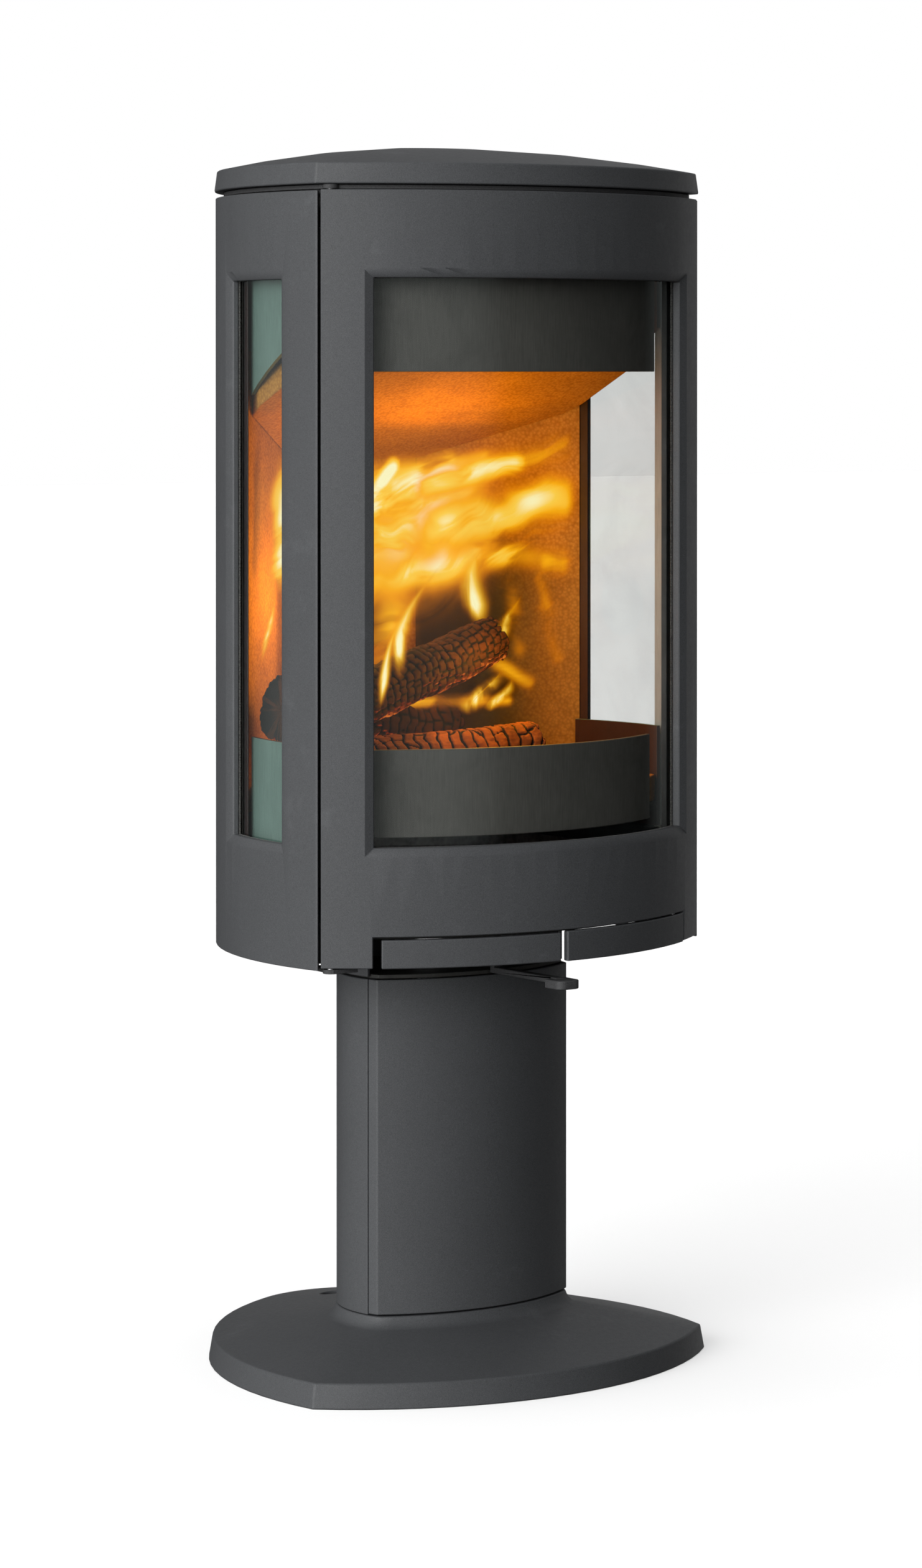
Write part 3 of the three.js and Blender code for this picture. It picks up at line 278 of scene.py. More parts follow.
def ember_coal(name):
    """Lumps of charcoal with grey ash on top and a glow from within."""
    g = Graph(name)
    facing = g.node("ShaderNodeNewGeometry").outputs["Normal"]
    up = g.node("ShaderNodeSeparateXYZ", {"Vector": facing}).outputs["Z"]
    ash = g.math("MULTIPLY", g.span(up, 0.2, 0.9), g.span(g.noise(90, 5, 0.7), 0.4, 0.62))
    charcoal = g.blend(g.noise(300, 4, 0.7), (0.012, 0.009, 0.008), (0.05, 0.03, 0.02))
    base = g.blend(ash, charcoal, (0.36, 0.33, 0.30))
    glow = g.math("MULTIPLY", g.span(g.noise(48, 4, 0.6), 0.46, 0.62), g.span(up, -0.3, 0.9, 1.0, 0.15))
    g.set(Base_Color=base, Roughness=0.95, Normal=g.bump(g.noise(400, 4, 0.7), 0.6, 0.8 * MM),
          Emission_Color=g.ramp(glow, [
              (0.0, (0, 0, 0)), (0.5, (0.7, 0.06, 0.004)), (1.0, (1.0, 0.36, 0.05)),
          ]),
          Emission_Strength=2.2)
    return g.material


def fire(name, streak, tilt, warp, soft):
    """Flame: streaks of the given size, in metres, whose heat sets both colour and cover."""
    g = Graph(name)
    g.tree.nodes.remove(g.shader)
    swirl = g.node("ShaderNodeTexNoise", {"Vector": g.place, "Scale": 9.0, "Detail": 2.0})
    bent = g.node("ShaderNodeVectorMath", operation="MULTIPLY_ADD")
    g.feed(bent.inputs[0], swirl.outputs["Color"])
    bent.inputs[1].default_value = (warp, warp, warp)
    g.feed(bent.inputs[2], g.place)
    licks = g.node("ShaderNodeMapping", {
        "Vector": bent.outputs[0], "Scale": streak, "Rotation": (0, -tilt, 0),
    }, vector_type="TEXTURE")
    value = g.noise(1.0, 4, 0.50, 0.5, licks.outputs["Vector"])
    heat = g.math("MULTIPLY", g.attribute("burning"), g.span(value, 0.32, 0.64, 0.34, 1.0, smooth=True))
    colour = g.ramp(heat, [
        (0.0, (0.90, 0.20, 0.0)), (0.20, (1.0, 0.31, 0.001)), (0.42, (1.0, 0.45, 0.008)),
        (0.66, (1.0, 0.62, 0.07)), (0.98, (1.0, 0.93, 0.54)),
    ])
    glow = g.node("ShaderNodeEmission", {"Color": colour, "Strength": 1.22})
    cover = g.span(heat, 0.0, soft, smooth=True)
    mixed = g.node("ShaderNodeMixShader", {
        0: cover, 1: g.node("ShaderNodeBsdfTransparent").outputs[0], 2: glow.outputs[0],
    })
    g.feed(g.output.inputs["Surface"], mixed.outputs[0])
    return g.material


PAINT = painted_casting("cast_paint", (0.052, 0.0545, 0.058), 0.56)
DARK_CAST = painted_casting("dark_cast", (0.030, 0.030, 0.031), 0.66, 1.6)
BLACK_STEEL = sheet_steel("black_steel", (0.030, 0.030, 0.027), 0.6)
GUARD_STEEL = sheet_steel("guard_steel", (0.094, 0.092, 0.084), 0.6, 0.25, 0.015)
# the teal-grey of the plates behind the side panes is a painted reflection: it stands in for the studio light
# that the side glass mirrors in front of them
PANE_GUARD_PAINTED_REFLECTION = sheet_steel("pane_guard_painted_reflection", (0.125, 0.215, 0.185), 0.6, 0.12, 0.03)
HEATED_STEEL = sheet_steel("heat_tinted_steel", (0.022, 0.0035, 0.0022), 0.6, 0.3)
# the pale colour of the front strips of the side panes is a painted highlight: it stands in for the light
# that catches that edge
EDGE_PAINTED_HIGHLIGHT_STEEL = sheet_steel("edge_painted_highlight_steel", (0.50, 0.49, 0.42), 0.45, 0.15)
STEEL = turned_steel("plated_steel", (0.45, 0.45, 0.46))
GLASS = glass_pane("clear_glass", (0.915, 0.92, 0.915), (0.9, 1.0, 0.97))
# mirrors less than clear glass does, so that the fire shows through it
DOOR_GLASS = glass_pane("door_glass", (0.915, 0.92, 0.915), (0.36, 0.40, 0.39))
ROPE = braided_rope("braided_rope")
BOARD = vermiculite_board("vermiculite", 0.60)
BOARD_RIGHT = vermiculite_board("vermiculite_dark_below", 0.815, 0.25)
BAFFLE_BOARD = vermiculite_board("vermiculite_baffle")
CHAR = charred_wood("charred_wood", (0.009, 0.005, 0.003), (0.075, 0.022, 0.005))
BARK = charred_wood("burning_bark", (0.085, 0.020, 0.004), (0.36, 0.095, 0.014))
COAL = ember_coal("ember_coal")
VEIL = fire("fire_veil", (0.20, 0.06, 0.030), math.radians(20), 0.10, 0.52)
TONGUE = fire("fire_tongue", (0.020, 0.020, 0.08), 0.0, 0.02, 0.85)


# ---- pieces made from CAD nodes ------------------------------------------------------------------
def place_piece(name, mesh, body, slot, material, *nodes):
    piece = bpy.data.objects.new(name, mesh)
    COLLECTION.objects.link(piece)
    if material is not None:
        mesh.materials.append(material)
    if nodes:
        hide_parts(*nodes)
    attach(piece, body)
    return piece


def node_bmesh(node):
    """A node's solid with its facets joined at their corners and flat faces made whole."""
    source = NODES[node].data
    solid = bmesh.new()
    corners = [solid.verts.new(v.co) for v in source.vertices]
    for polygon in source.polygons:
        solid.faces.new([corners[i] for i in polygon.vertices])
    bmesh.ops.remove_doubles(solid, verts=solid.verts[:], dist=0.003 * MM)
    bmesh.ops.dissolve_limit(
        solid, angle_limit=math.radians(0.15), verts=solid.verts[:], edges=solid.edges[:]
    )
    bmesh.ops.recalc_face_normals(solid, faces=solid.faces[:])
    return solid


def as_mesh(name, solid, smooth=True):
    mesh = bpy.data.meshes.new(name)
    for face in solid.faces:
        face.smooth = smooth
    for edge in solid.edges:
        edge.smooth = len(edge.link_faces) == 2 and edge.calc_face_angle() < SHARP
    solid.to_mesh(mesh)
    solid.free()
    return mesh


def finished(node, slot, material, edge, segments=2):
    """The node's solid with rounded edges and smooth curves."""
    mesh = as_mesh(node, node_bmesh(node))
    piece = place_piece(f"{node}_finished", mesh, BODY_OF[node], slot, material, node)
    if edge:
        rounded = piece.modifiers.new("rounded_edges", "BEVEL")
        rounded.width = edge * MM
        rounded.segments = segments
        rounded.limit_method = "ANGLE"
        rounded.angle_limit = ROUNDED_OVER
        rounded.use_clamp_overlap = False
        piece.modifiers.new("even_shading", "WEIGHTED_NORMAL").keep_sharp = True
    return piece


PAINTED = {
    "base_plate": 1.6, "pedestal_front_cover": 1.0, "pedestal_rear_shell": 0.8, "pedestal_neck": 0.8,
    "left_side_panel": 0.8, "right_side_panel": 0.8, "back_panel": 0.8, "top_plate": 1.4, "door_frame": 0.9,
    "door_handle": 1.2, "lower_trim": 1.2,
}
CAST = {
    "body_top": 0.5, "flue_spigot": 1.0, "oval_cover": 0.8, "grate": 1.2, "hinge_bracket_lower": 0.5,
    "air_lever": 1.0,
}
SHEET = {
    "pedestal_top_plate": 0.5, "body_floor": 0.5, "firebox_back": 0.4, "firebox_front_frame": 0.6,
    "firebox_floor": 0.5,
    "door_glass_clip_upper_left": 0.2, "door_glass_clip_upper_right": 0.2,
    "door_glass_clip_lower_left": 0.2, "door_glass_clip_lower_right": 0.2,
}
PLATED = {
    "air_inlet_duct": 0.5, "ash_pan": 0.4, "hinge_pin_lower": 0.5, "hinge_pin_upper": 0.5,
    "latch_keeper": 0.5, "latch_hook": 0.6, "handle_pin": 0.4, "air_shutter": 0.5, "lever_pin": 0.6,
}
BOARDS = {
    "back_brick_left": BOARD, "back_brick_right": BOARD_RIGHT, "floor_brick_left": BOARD,
    "floor_brick_right": BOARD, "baffle": BAFFLE_BOARD,
}


def stain_inner_faces(piece):
    """Give the faces that look into the firebox the colour that the fire leaves on steel."""
    piece.data.materials.append(HEATED_STEEL)
    for face in piece.data.polygons:
        if face.normal.x * face.center.x < 0:
            face.material_index = 1


def upper_guard(side):
    """The plate behind the top of a side pane: the lower one's section, cut to follow the baffle."""
    low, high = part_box(f"{side}_side_guard")
    baffle_low, baffle_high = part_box("baffle")
    under_deflector, over_baffle, fall = 5, 1, 56      # in mm
    solid = node_bmesh(f"{side}_side_guard")
    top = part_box("front_deflector")[1].z - under_deflector * MM
    for corner in solid.verts:
        share = (corner.co.y - baffle_low.y) / (high.y - baffle_low.y)
        edge = baffle_high.z + (over_baffle - fall * share) * MM
        corner.co.z = top if corner.co.z > (low.z + high.z) / 2 else edge
    mesh = as_mesh("upper_guard", solid)
    plate = place_piece(f"{side}_upper_side_guard", mesh, "root", "black_steel", PANE_GUARD_PAINTED_REFLECTION)
    stain_inner_faces(plate)
    return plate


def flange(outline, low, high):
    """Corners and faces of an upright plate with the given outline."""
    count = len(outline)
    corners = [(p.x, p.y, z) for z in (low, high) for p in outline]
    sides = [(i, (i + 1) % count, count + (i + 1) % count, count + i) for i in range(count)]
    return corners, [tuple(reversed(range(count))), tuple(range(count, 2 * count)), *sides]


def gap_shade_sheet():
    """A dark sheet under the floor, in line with the front frame, that closes the gaps round the handle with
    painted shade.
    """
    frame_solid = node_bmesh("firebox_front_frame")
    lowest = min(frame_solid.faces, key=lambda face: face.calc_center_median().z)
    outline = [v.co.copy() for v in lowest.verts]
    frame_solid.free()
    gap, beside_glass, above_door_edge = 0.4 * MM, 8 * MM, 2 * MM
    under_floor, over_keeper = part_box("body_floor")[0].z - gap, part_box("latch_keeper")[1].z + gap
    hinge_corner = [p for p in outline if p.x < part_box("door_glass")[0].x - beside_glass]
    solid = bmesh.new()
    for shape, low, high in ((outline, over_keeper, under_floor),
                             (hinge_corner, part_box("door_frame")[0].z + above_door_edge, over_keeper)):
        corners, faces = flange(shape, low, high)
        made = [solid.verts.new(c) for c in corners]
        for face in faces:
            solid.faces.new([made[i] for i in face])
    bmesh.ops.recalc_face_normals(solid, faces=solid.faces[:])
    return place_piece("gap_shade_sheet", as_mesh("gap_shade_sheet", solid), "root", "black_steel", BLACK_STEEL)


gap_shade_sheet()

interior = []
for nodes, slot, material in ((PAINTED, "cast_paint", PAINT), (CAST, "dark_cast", DARK_CAST),
                              (SHEET, "black_steel", BLACK_STEEL), (PLATED, "steel", STEEL)):
    for node, edge in nodes.items():
        piece = finished(node, slot, material, edge, 3 if edge >= 1 else 2)
        if node in ("oval_cover", "grate", "firebox_back", "firebox_floor"):
            interior.append(piece)
for node in ("log_retainer", "front_deflector"):
    interior.append(finished(node, "black_steel", GUARD_STEEL, 0.8))
for side in ("left", "right"):
    guard = finished(f"{side}_side_guard", "black_steel", PANE_GUARD_PAINTED_REFLECTION, 0.6)
    stain_inner_faces(guard)
    interior += [guard, upper_guard(side)]
    interior.append(finished(f"{side}_side_glass_strip_rear", "black_steel", HEATED_STEEL, 0.3))
    finished(f"{side}_side_glass_strip_front", "black_steel", EDGE_PAINTED_HIGHLIGHT_STEEL, 0.3)
    finished(f"{side}_side_glass", "clear_glass", GLASS, 0)
    finished(f"{side}_side_glass_seal", "rope", ROPE, 0.5)
finished("door_glass", "clear_glass", DOOR_GLASS, 0)
finished("door_glass_seal", "rope", ROPE, 0.5)
finished("door_rope_seal", "rope", ROPE, 3.2, 4)
for node, material in BOARDS.items():
    interior.append(finished(node, "vermiculite", material, 1.2))


# ---- back wall with its row of air holes ---------------------------------------------------------
def drilled_brick():
    """The middle board of the back wall, drilled right through by a row of secondary air holes."""
    node = "back_brick_centre"
    low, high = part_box(node)
    mesh = as_mesh(node, node_bmesh(node))
    board = place_piece(f"{node}_drilled", mesh, "root", "vermiculite", BOARD, node)
    drills = bmesh.new()
    hole_radius, pitch, over_cover = 3 * MM, 19.5 * MM, 9 * MM
    hole_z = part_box("oval_cover")[1].z + over_cover
    length, lying = 2 * (high.y - low.y), Euler((math.pi / 2, 0, 0)).to_matrix()
    for step in (-3, -2, -1, 0, 1, 2, 3):
        drill = bmesh.ops.create_cone(
            drills, cap_ends=True, segments=20, radius1=hole_radius, radius2=hole_radius, depth=length
        )["verts"]
        bmesh.ops.rotate(drills, verts=drill, cent=(0, 0, 0), matrix=lying)
        bmesh.ops.translate(drills, verts=drill, vec=(step * pitch, (low.y + high.y) / 2, hole_z))
    cutter = bpy.data.objects.new("drills", as_mesh("drills", drills, False))
    COLLECTION.objects.link(cutter)
    cut = board.modifiers.new("holes", "BOOLEAN")
    cut.operation, cut.solver, cut.object = "DIFFERENCE", "EXACT", cutter
    evaluated = board.evaluated_get(bpy.context.evaluated_depsgraph_get())
    drilled = bpy.data.meshes.new_from_object(evaluated)
    board.modifiers.clear()
    board.data = drilled
    bpy.data.objects.remove(cutter)
    rounded = board.modifiers.new("rounded_edges", "BEVEL")
    rounded.width, rounded.segments, rounded.angle_limit = 0.6 * MM, 2, math.radians(40)
    board.modifiers.new("even_shading", "WEIGHTED_NORMAL").keep_sharp = True
    return board


interior.append(drilled_brick())


# ---- logs ----------------------------------------------------------------------------------------
def log_axis(node):
    """The two ends of a log's axis and its radius at each, from the node's own solid."""
    points = np.unique(np.round([v.co[:] for v in NODES[node].data.vertices], 6), axis=0)
    middle = points.mean(axis=0)
    along = np.linalg.svd(points - middle)[2][0]
    share = (points - middle) @ along
    ends = []
    for chosen in (share < 0, share > 0):
        group = points[chosen]
        centre = group.mean(axis=0)
        ends.append((Vector(centre), float(np.linalg.norm(group - centre, axis=1).max())))
    return ends


def charred_log(node, seed, material, block_along, block_around):
    """A split billet: out-of-round, its skin cracked into blocks of the given sizes in metres."""
    (start, start_r), (end, end_r) = log_axis(node)
    along = (end - start).normalized()
    side = along.cross(Vector((0, 0, 1))).normalized()
    up = side.cross(along)
    rows, around, cap_rows = 150, 84, 7
    deepest_crack, end_bulge = 3.6 * MM, 1.2 * MM
    length = (end - start).length
    verts, cracks = [], []

    def crack_depth(t, angle, radius):
        s, a = t * length, angle * radius
        jog = 0.45 * block_around * noise.noise(Vector((s * 45, a * 45, seed)))
        row = (s + 0.55 * block_along * noise.noise(Vector((a * 55, s * 30, seed + 5)))) / block_along
        stagger = noise.cell(Vector((math.floor(row), seed, 0)))
        column = (a + jog) / block_around + stagger
        rough = 0.13 + 0.07 * noise.noise(Vector((s * 90, a * 90, seed + 9)))
        across = max(0.0, 1 - abs(row - round(row)) / rough)
        lengthwise = max(0.0, 1 - abs(column - round(column)) / (rough * block_along / block_around))
        return max(across, 0.85 * lengthwise)

    def skin(t, angle):
        radius = start_r + (end_r - start_r) * t
        spot = Vector((math.cos(angle) * 1.3, math.sin(angle) * 1.3, t * 4 + seed))
        split, facet = (max(0.0, math.cos(angle + turn - seed)) for turn in (0.0, 2.1))
        out_of_round = 1 - 0.10 * split ** 2 - 0.08 * facet ** 4
        body = radius * out_of_round * (0.95 + 0.09 * noise.fractal(spot, 1.0, 2.0, 3))
        crack = crack_depth(t, angle, radius)
        fine = 0.8 * MM * noise.fractal(spot * 9, 0.9, 2.0, 4)
        return body - deepest_crack * crack ** 1.2 + fine, crack

    def add_ring(centre, t, scale, bulge=0.0):
        for k in range(around):
            angle = 2 * math.pi * k / around
            radius, crack = skin(t, angle)
            if scale < 1:
                ring_crack = max(0.0, 1 - abs(math.sin(angle * 3 + seed + 2 * scale)) / 0.12) * scale
                crack = max(crack * scale, ring_crack)
            spread = radius * scale
            wobble = bulge
            if scale < 1:
                wobble += 1.5 * MM * noise.noise(Vector((angle * 2, scale * 9, seed + t)))
            sideways, upwards = side * (spread * math.cos(angle)), up * (spread * math.sin(angle))
            verts.append(centre + sideways + upwards + along * wobble)
            cracks.append(crack)

    cap_scales = [0.02 + 0.96 * i / (cap_rows - 1) for i in range(cap_rows)]
    for scale in cap_scales:
        add_ring(start, 0.0, scale, end_bulge)
    for i in range(rows + 1):
        t = i / rows
        add_ring(start.lerp(end, t), t, 1.0)
    for scale in reversed(cap_scales):
        add_ring(end, 1.0, scale, -end_bulge)
    rings = len(verts) // around
    faces = []
    for i in range(rings - 1):
        for k in range(around):
            n = (k + 1) % around
            faces.append((i * around + k, (i + 1) * around + k, (i + 1) * around + n, i * around + n))
    faces.append(tuple(range(around)))
    faces.append(tuple(reversed(range((rings - 1) * around, rings * around))))
    mesh = bpy.data.meshes.new(node)
    mesh.from_pydata([v[:] for v in verts], [], faces)
    mesh.attributes.new("crack", "FLOAT", "POINT").data.foreach_set("value", cracks)
    mesh.polygons.foreach_set("use_smooth", [True] * len(mesh.polygons))
    solid = bmesh.new()
    solid.from_mesh(mesh)
    bmesh.ops.recalc_face_normals(solid, faces=solid.faces[:])
    solid.to_mesh(mesh)
    solid.free()
    return place_piece(f"{node}_charred", mesh, "root", "burnt_wood", material, node)


interior.append(charred_log("log_front", 1.3, BARK, 13 * MM, 34 * MM))
interior.append(charred_log("log_rear", 5.0, CHAR, 12 * MM, 14 * MM))
interior.append(charred_log("log_upper", 8.7, CHAR, 11 * MM, 10 * MM))


# ---- embers --------------------------------------------------------------------------------------
def ember_bed():
    """A low bed of broken charcoal over the grate, heaped under the logs."""
    draw = random.Random(11)
    low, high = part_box("grate")
    lumps, spread, half_width, front_gap, rear_gap = 190, 0.078, 0.165, 0.030, 0.020
    bed = bmesh.new()
    for _ in range(lumps):
        x = draw.gauss(0, spread)
        y = draw.uniform(low.y + front_gap, high.y - rear_gap)
        if abs(x) > half_width:
            continue
        size = draw.uniform(5, 12) * MM
        centre = Vector((x, y, high.z + size * draw.uniform(0.3, 0.8)))
        lump = bmesh.ops.create_icosphere(bed, subdivisions=2, radius=size)["verts"]
        stretch = Vector((draw.uniform(0.8, 1.5), draw.uniform(0.7, 1.2), draw.uniform(0.45, 0.8)))
        turn = Euler((0, 0, draw.uniform(0, math.tau))).to_matrix()
        shift = Vector((draw.random(), draw.random(), draw.random())) * 50
        for v in lump:
            broken = 1 + 0.45 * noise.noise(v.co * (1.1 / size) + shift)
            v.co = turn @ Vector(a * b for a, b in zip(v.co * broken, stretch)) + centre
    return place_piece("ember_bed", as_mesh("ember_bed", bed, False), "root", None, COAL)


interior.append(ember_bed())


# ---- flames --------------------------------------------------------------------------------------
def flame_sheet(surface, heat, across, rows):
    """A thin sheet of fire as (points, faces, heats), from surface(u, v) and heat(u, v), each from 0 to 1."""
    points, heats, faces = [], [], []
    for j in range(rows + 1):
        for i in range(across + 1):
            u, v = i / across, j / rows
            points.append(surface(u, v))
            heats.append(max(0.0, heat(u, v)))
    for j in range(rows):
        for i in range(across):
            a = j * (across + 1) + i
            faces.append((a, a + 1, a + across + 2, a + across + 1))
    return points, faces, heats


def flame_piece(name, sheets, material):
    points, faces, heats = [], [], []
    for sheet_points, sheet_faces, sheet_heats in sheets:
        first = len(points)
        points += [p[:] for p in sheet_points]
        faces += [tuple(first + k for k in face) for face in sheet_faces]
        heats += sheet_heats
    mesh = bpy.data.meshes.new(name)
    mesh.from_pydata(points, [], faces)
    mesh.attributes.new("burning", "FLOAT", "POINT").data.foreach_set("value", heats)
    mesh.polygons.foreach_set("use_smooth", [True] * len(mesh.polygons))
    return place_piece(name, mesh, "root", None, material)


def streak_heat(x, z, streak):
    """Heat of one soft streak from (x0, z0) to (x1, z1), with its half thickness and its greatest heat."""
    x0, z0, x1, z1, thick, hottest = streak
    along, here = Vector((x1 - x0, z1 - z0)), Vector((x - x0, z - z0))
    share = min(1.0, max(0.0, here.dot(along) / along.length_squared))
    away = (here - along * share).length / thick
    return hottest * math.exp(-away * away)


def fire_curtain(y, half_width, top, streaks, seed):
    """A wavy upright sheet across the firebox, hot along its streaks and clear elsewhere."""
    low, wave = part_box("grate")[1].z, 10 * MM

    def surface(u, v):
        x, z = half_width * (2 * u - 1), low + (top - low) * v
        return Vector((x, y + wave * noise.noise(Vector((u * 4, v * 3, seed))), z))

    def heat(u, v):
        x, z = half_width * (2 * u - 1), low + (top - low) * v
        ragged = 0.8 + 0.35 * noise.noise(Vector((x * 28, z * 40, seed + 3)))
        rim = min(1.0, (1 - v) / 0.08, v / 0.08, u / 0.05, (1 - u) / 0.05)
        return ragged * rim * max(streak_heat(x, z, streak) for streak in streaks)

    return flame_sheet(surface, heat, 110, 90)


def fire_tongue(x, y, z, height, half_width, lean, seed):
    """Two crossed ribbons that narrow and curl to a tip."""
    def ribbon(turn):
        across = Vector((math.cos(turn), math.sin(turn), 0))

        def surface(u, v):
            swing = lean * v ** 1.6 + 0.35 * half_width * math.sin(v * 5 + seed)
            width = half_width * (0.35 + 1.25 * v * (1 - v) * 2.2) * (1 - v) ** 0.55
            return Vector((x + swing, y, z + height * v)) + across * (2 * u - 1) * width

        def heat(u, v):
            edge = 1 - abs(2 * u - 1) ** 1.2
            return 1.15 * edge ** 1.8 * min(1.0, v / 0.25 + 0.1) * min(1.0, (1 - v) / 0.7)

        return flame_sheet(surface, heat, 14, 30)

    return [ribbon(-0.62), ribbon(-0.62 + math.pi / 2)]


CURTAINS = {                           # depth, half width, top, then the streaks
    "fire_back": (0.080, 0.120, 0.884, (
        (-0.080, 0.800, 0.070, 0.840, 0.070, 0.95),
        (-0.020, 0.855, 0.110, 0.868, 0.034, 0.80),
        (-0.005, 0.680, 0.030, 0.790, 0.028, 0.55),
        (-0.100, 0.700, -0.090, 0.800, 0.036, 0.60),
        (0.060, 0.790, 0.115, 0.810, 0.034, 0.60),
    )),
    "fire_middle": (0.028, 0.178, 0.908, (
        (-0.069, 0.825, 0.041, 0.850, 0.050, 1.35),
        (-0.014, 0.858, 0.051, 0.884, 0.022, 1.45),
        (0.041, 0.880, 0.116, 0.896, 0.018, 1.15),
        (-0.051, 0.855, -0.023, 0.886, 0.010, 1.60),
        (-0.049, 0.780, 0.076, 0.796, 0.026, 1.05),
        (-0.158, 0.785, -0.142, 0.862, 0.019, 1.45),
        (-0.160, 0.850, -0.144, 0.895, 0.018, 0.80),
    )),
    "fire_front": (-0.008, 0.185, 0.940, (
        (0.000, 0.820, 0.155, 0.852, 0.026, 0.95),
        (-0.010, 0.868, 0.105, 0.888, 0.014, 1.00),
        (0.070, 0.796, 0.165, 0.788, 0.014, 1.05),
        (0.050, 0.880, 0.160, 0.905, 0.020, 0.42),
        (0.074, 0.690, 0.125, 0.664, 0.009, 0.50),
        (-0.040, 0.652, 0.095, 0.648, 0.006, 0.50),
        (0.110, 0.700, 0.092, 0.770, 0.012, 0.26),
        (0.150, 0.735, 0.120, 0.795, 0.010, 0.32),
        (0.160, 0.690, 0.140, 0.740, 0.009, 0.26),
    )),
}
for seed, (name, shape) in enumerate(CURTAINS.items()):
    flame_piece(name, [fire_curtain(*shape, 2.0 + 3.5 * seed)], VEIL)

TONGUES = (                            # place of the base, height, half width, lean, seed of the swing
    (-0.122, -0.088, 0.655, 0.100, 0.0110, 0.040, 1.0),
    (-0.092, -0.076, 0.680, 0.115, 0.0200, 0.052, 2.2),
    (0.064, 0.010, 0.722, 0.100, 0.0300, 0.020, 2.0),
    (0.084, -0.018, 0.708, 0.050, 0.0150, 0.016, 3.0),
    (0.016, -0.060, 0.640, 0.052, 0.0260, 0.030, 4.0),
    (0.046, -0.052, 0.642, 0.036, 0.0180, 0.022, 4.6),
    (-0.186, 0.015, 0.690, 0.095, 0.0090, 0.018, 5.0),
    (-0.172, -0.038, 0.606, 0.060, 0.0200, 0.028, 6.0),
)
flame_piece("fire_tongues", [sheet for shape in TONGUES for sheet in fire_tongue(*shape)], TONGUE)


# ---- light of the fire, which only reaches the firebox -------------------------------------------
def fire_lights():
    lit = bpy.data.collections.new("lit_by_the_fire")
    for piece in interior:
        lit.objects.link(piece)
    for index, (place, power, size) in enumerate((
        ((0.02, -0.01, 0.850), 1.5, 0.07),
        ((-0.10, 0.02, 0.760), 1.0, 0.05),
        ((0.05, -0.08, 0.700), 0.8, 0.04),
        ((-0.02, -0.135, 0.665), 0.28, 0.03),
    )):
        data = bpy.data.lights.new(f"fire_light_{index}", "POINT")
        data.energy, data.color, data.shadow_soft_size = power, (1.0, 0.44, 0.008), size
        lamp = bpy.data.objects.new(data.name, data)
        lamp.location = place
        COLLECTION.objects.link(lamp)
        lamp.light_linking.receiver_collection = lit


fire_lights()


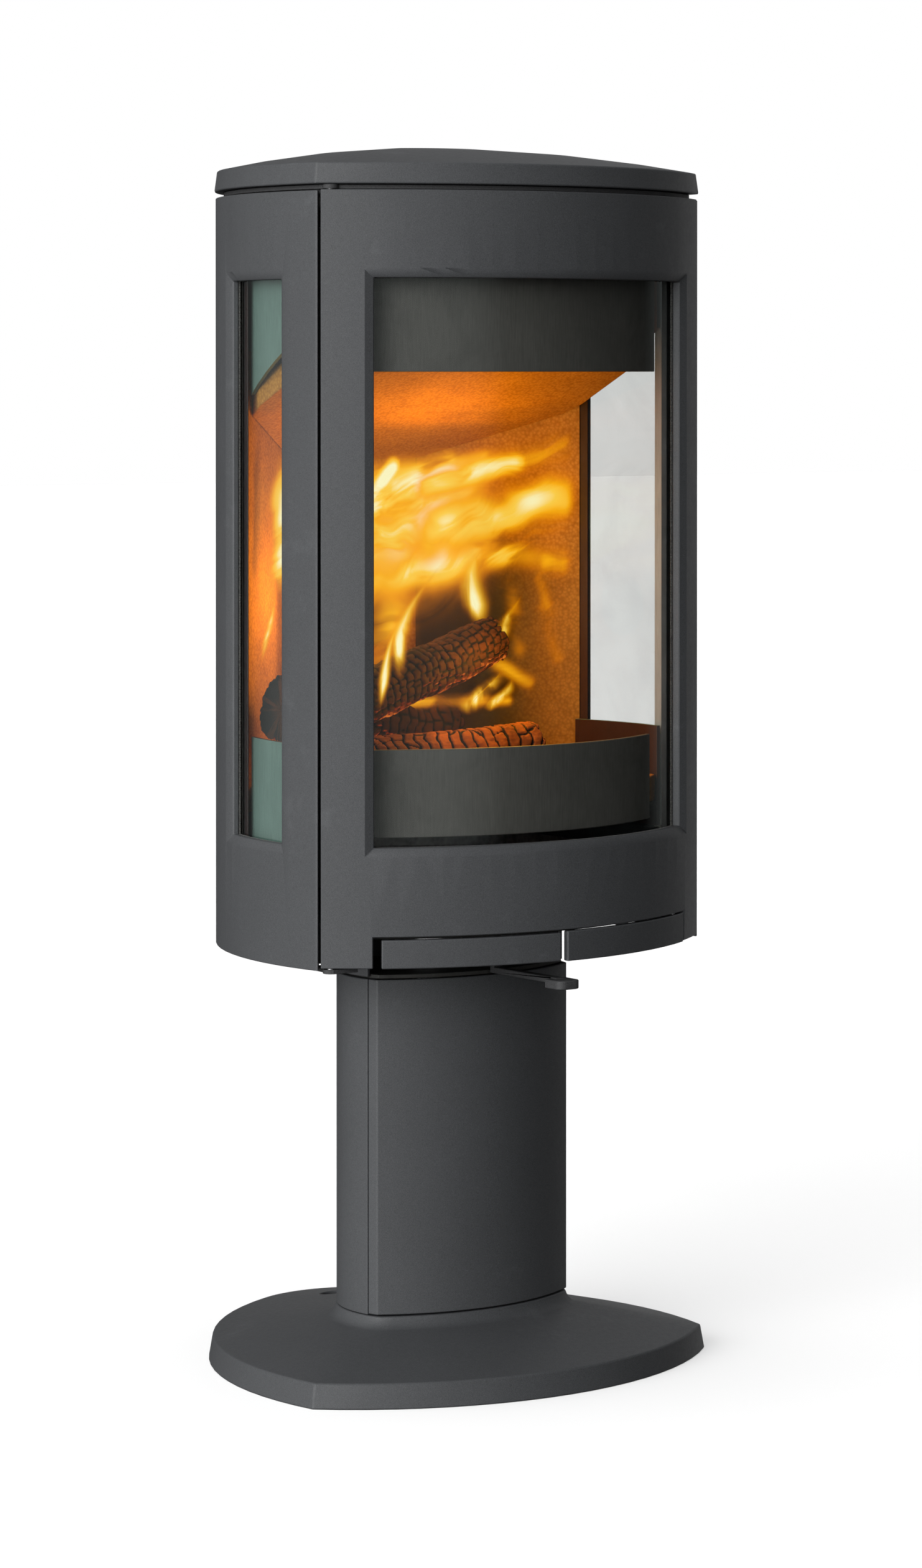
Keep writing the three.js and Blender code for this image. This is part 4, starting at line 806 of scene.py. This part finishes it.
# ---- studio --------------------------------------------------------------------------------------
def studio_world():
    """A large soft key on the left, weak light from above, in front and behind, and a white backdrop."""
    world = bpy.data.worlds.new("studio")
    world.use_nodes = True
    bpy.context.scene.world = world
    tree = world.node_tree
    tree.nodes.clear()
    link = tree.links.new
    coords = tree.nodes.new("ShaderNodeTexCoord")

    def lobe(direction, low, high, strength):
        dot = tree.nodes.new("ShaderNodeVectorMath")
        dot.operation = "DOT_PRODUCT"
        dot.inputs[1].default_value = Vector(direction).normalized()
        link(coords.outputs["Generated"], dot.inputs[0])
        fall = tree.nodes.new("ShaderNodeMapRange")
        fall.interpolation_type = "SMOOTHSTEP"
        for key, value in (("From Min", low), ("From Max", high), ("To Min", 0.0), ("To Max", strength)):
            fall.inputs[key].default_value = value
        link(dot.outputs["Value"], fall.inputs["Value"])
        return fall.outputs["Result"]

    def plus(a, b):
        total = tree.nodes.new("ShaderNodeMath")
        total.operation = "ADD"
        for socket, value in zip(total.inputs, (a, b)):
            if isinstance(value, float):
                socket.default_value = value
            else:
                link(value, socket)
        return total.outputs[0]

    key = lobe((-0.93, -0.37, 0.2), 0.84, 0.99, 7.5)
    behind_left = lobe((-0.85, 0.52, 0.1), 0.55, 0.95, 0.65)
    in_front = lobe((-0.3, -0.95, 0.1), 0.80, 0.99, 0.85)
    overhead = lobe((-0.2, 0.1, 1.0), 0.60, 0.98, 0.85)
    rim = lobe((0.85, 0.50, 0.1), 0.75, 0.98, 0.6)
    light = plus(plus(plus(key, behind_left), plus(overhead, rim)), plus(in_front, 0.015))
    soft = tree.nodes.new("ShaderNodeBackground")
    link(light, soft.inputs["Strength"])
    soft.inputs["Color"].default_value = (1, 1, 1, 1)
    backdrop = tree.nodes.new("ShaderNodeBackground")
    backdrop.inputs["Color"].default_value = (1, 1, 1, 1)
    pick = tree.nodes.new("ShaderNodeMixShader")
    link(tree.nodes.new("ShaderNodeLightPath").outputs["Is Camera Ray"], pick.inputs[0])
    link(soft.outputs[0], pick.inputs[1])
    link(backdrop.outputs[0], pick.inputs[2])
    link(pick.outputs[0], tree.nodes.new("ShaderNodeOutputWorld").inputs["Surface"])


def studio_floor():
    """A pale floor with a light of its own, so that it stays as bright as the backdrop."""
    g = Graph("studio_floor")
    tone = g.noise(0.8, 3)
    pale = g.blend(tone, (0.84, 0.84, 0.84), (0.87, 0.87, 0.87))
    g.set(Base_Color=pale, Roughness=0.9, Specular_IOR_Level=0.0)
    half = 30                              # in metres
    corners = [(-half, -half, 0), (half, -half, 0), (half, half, 0), (-half, half, 0)]
    mesh = bpy.data.meshes.new("studio_floor")
    mesh.from_pydata(corners, [], [(0, 1, 2, 3)])
    mesh.materials.append(g.material)
    floor = bpy.data.objects.new("studio_floor", mesh)
    COLLECTION.objects.link(floor)
    floor.visible_diffuse = floor.visible_glossy = False
    only_floor = bpy.data.collections.new("lit_by_the_floor_light")
    only_floor.objects.link(floor)
    data = bpy.data.lights.new("floor_light", "SUN")
    data.energy, data.angle, data.use_shadow = 1.8, math.radians(60), False
    lamp = bpy.data.objects.new("floor_light", data)
    COLLECTION.objects.link(lamp)
    lamp.light_linking.receiver_collection = only_floor


def camera():
    """A long lens from the left of the front, level with the firebox and looking slightly down."""
    data = bpy.data.cameras.new("camera")
    data.sensor_width = 36
    data.lens = 106.5
    data.clip_start, data.clip_end = 0.1, 100
    turn, down = math.radians(35.894), math.radians(0.6)
    level_line = 0.2643                # of the frame's height: how far above its middle the eye level is
    data.shift_y = -(level_line - data.lens / data.sensor_width * math.tan(down))
    eye = bpy.data.objects.new("camera", data)
    eye.location = (-2.6855, -3.7677, 0.9821)
    eye.rotation_euler = Euler((math.pi / 2 - down, 0, -turn))
    COLLECTION.objects.link(eye)
    bpy.context.scene.camera = eye


studio_world()
studio_floor()
camera()
bpy.context.scene.view_settings.view_transform = "Standard"
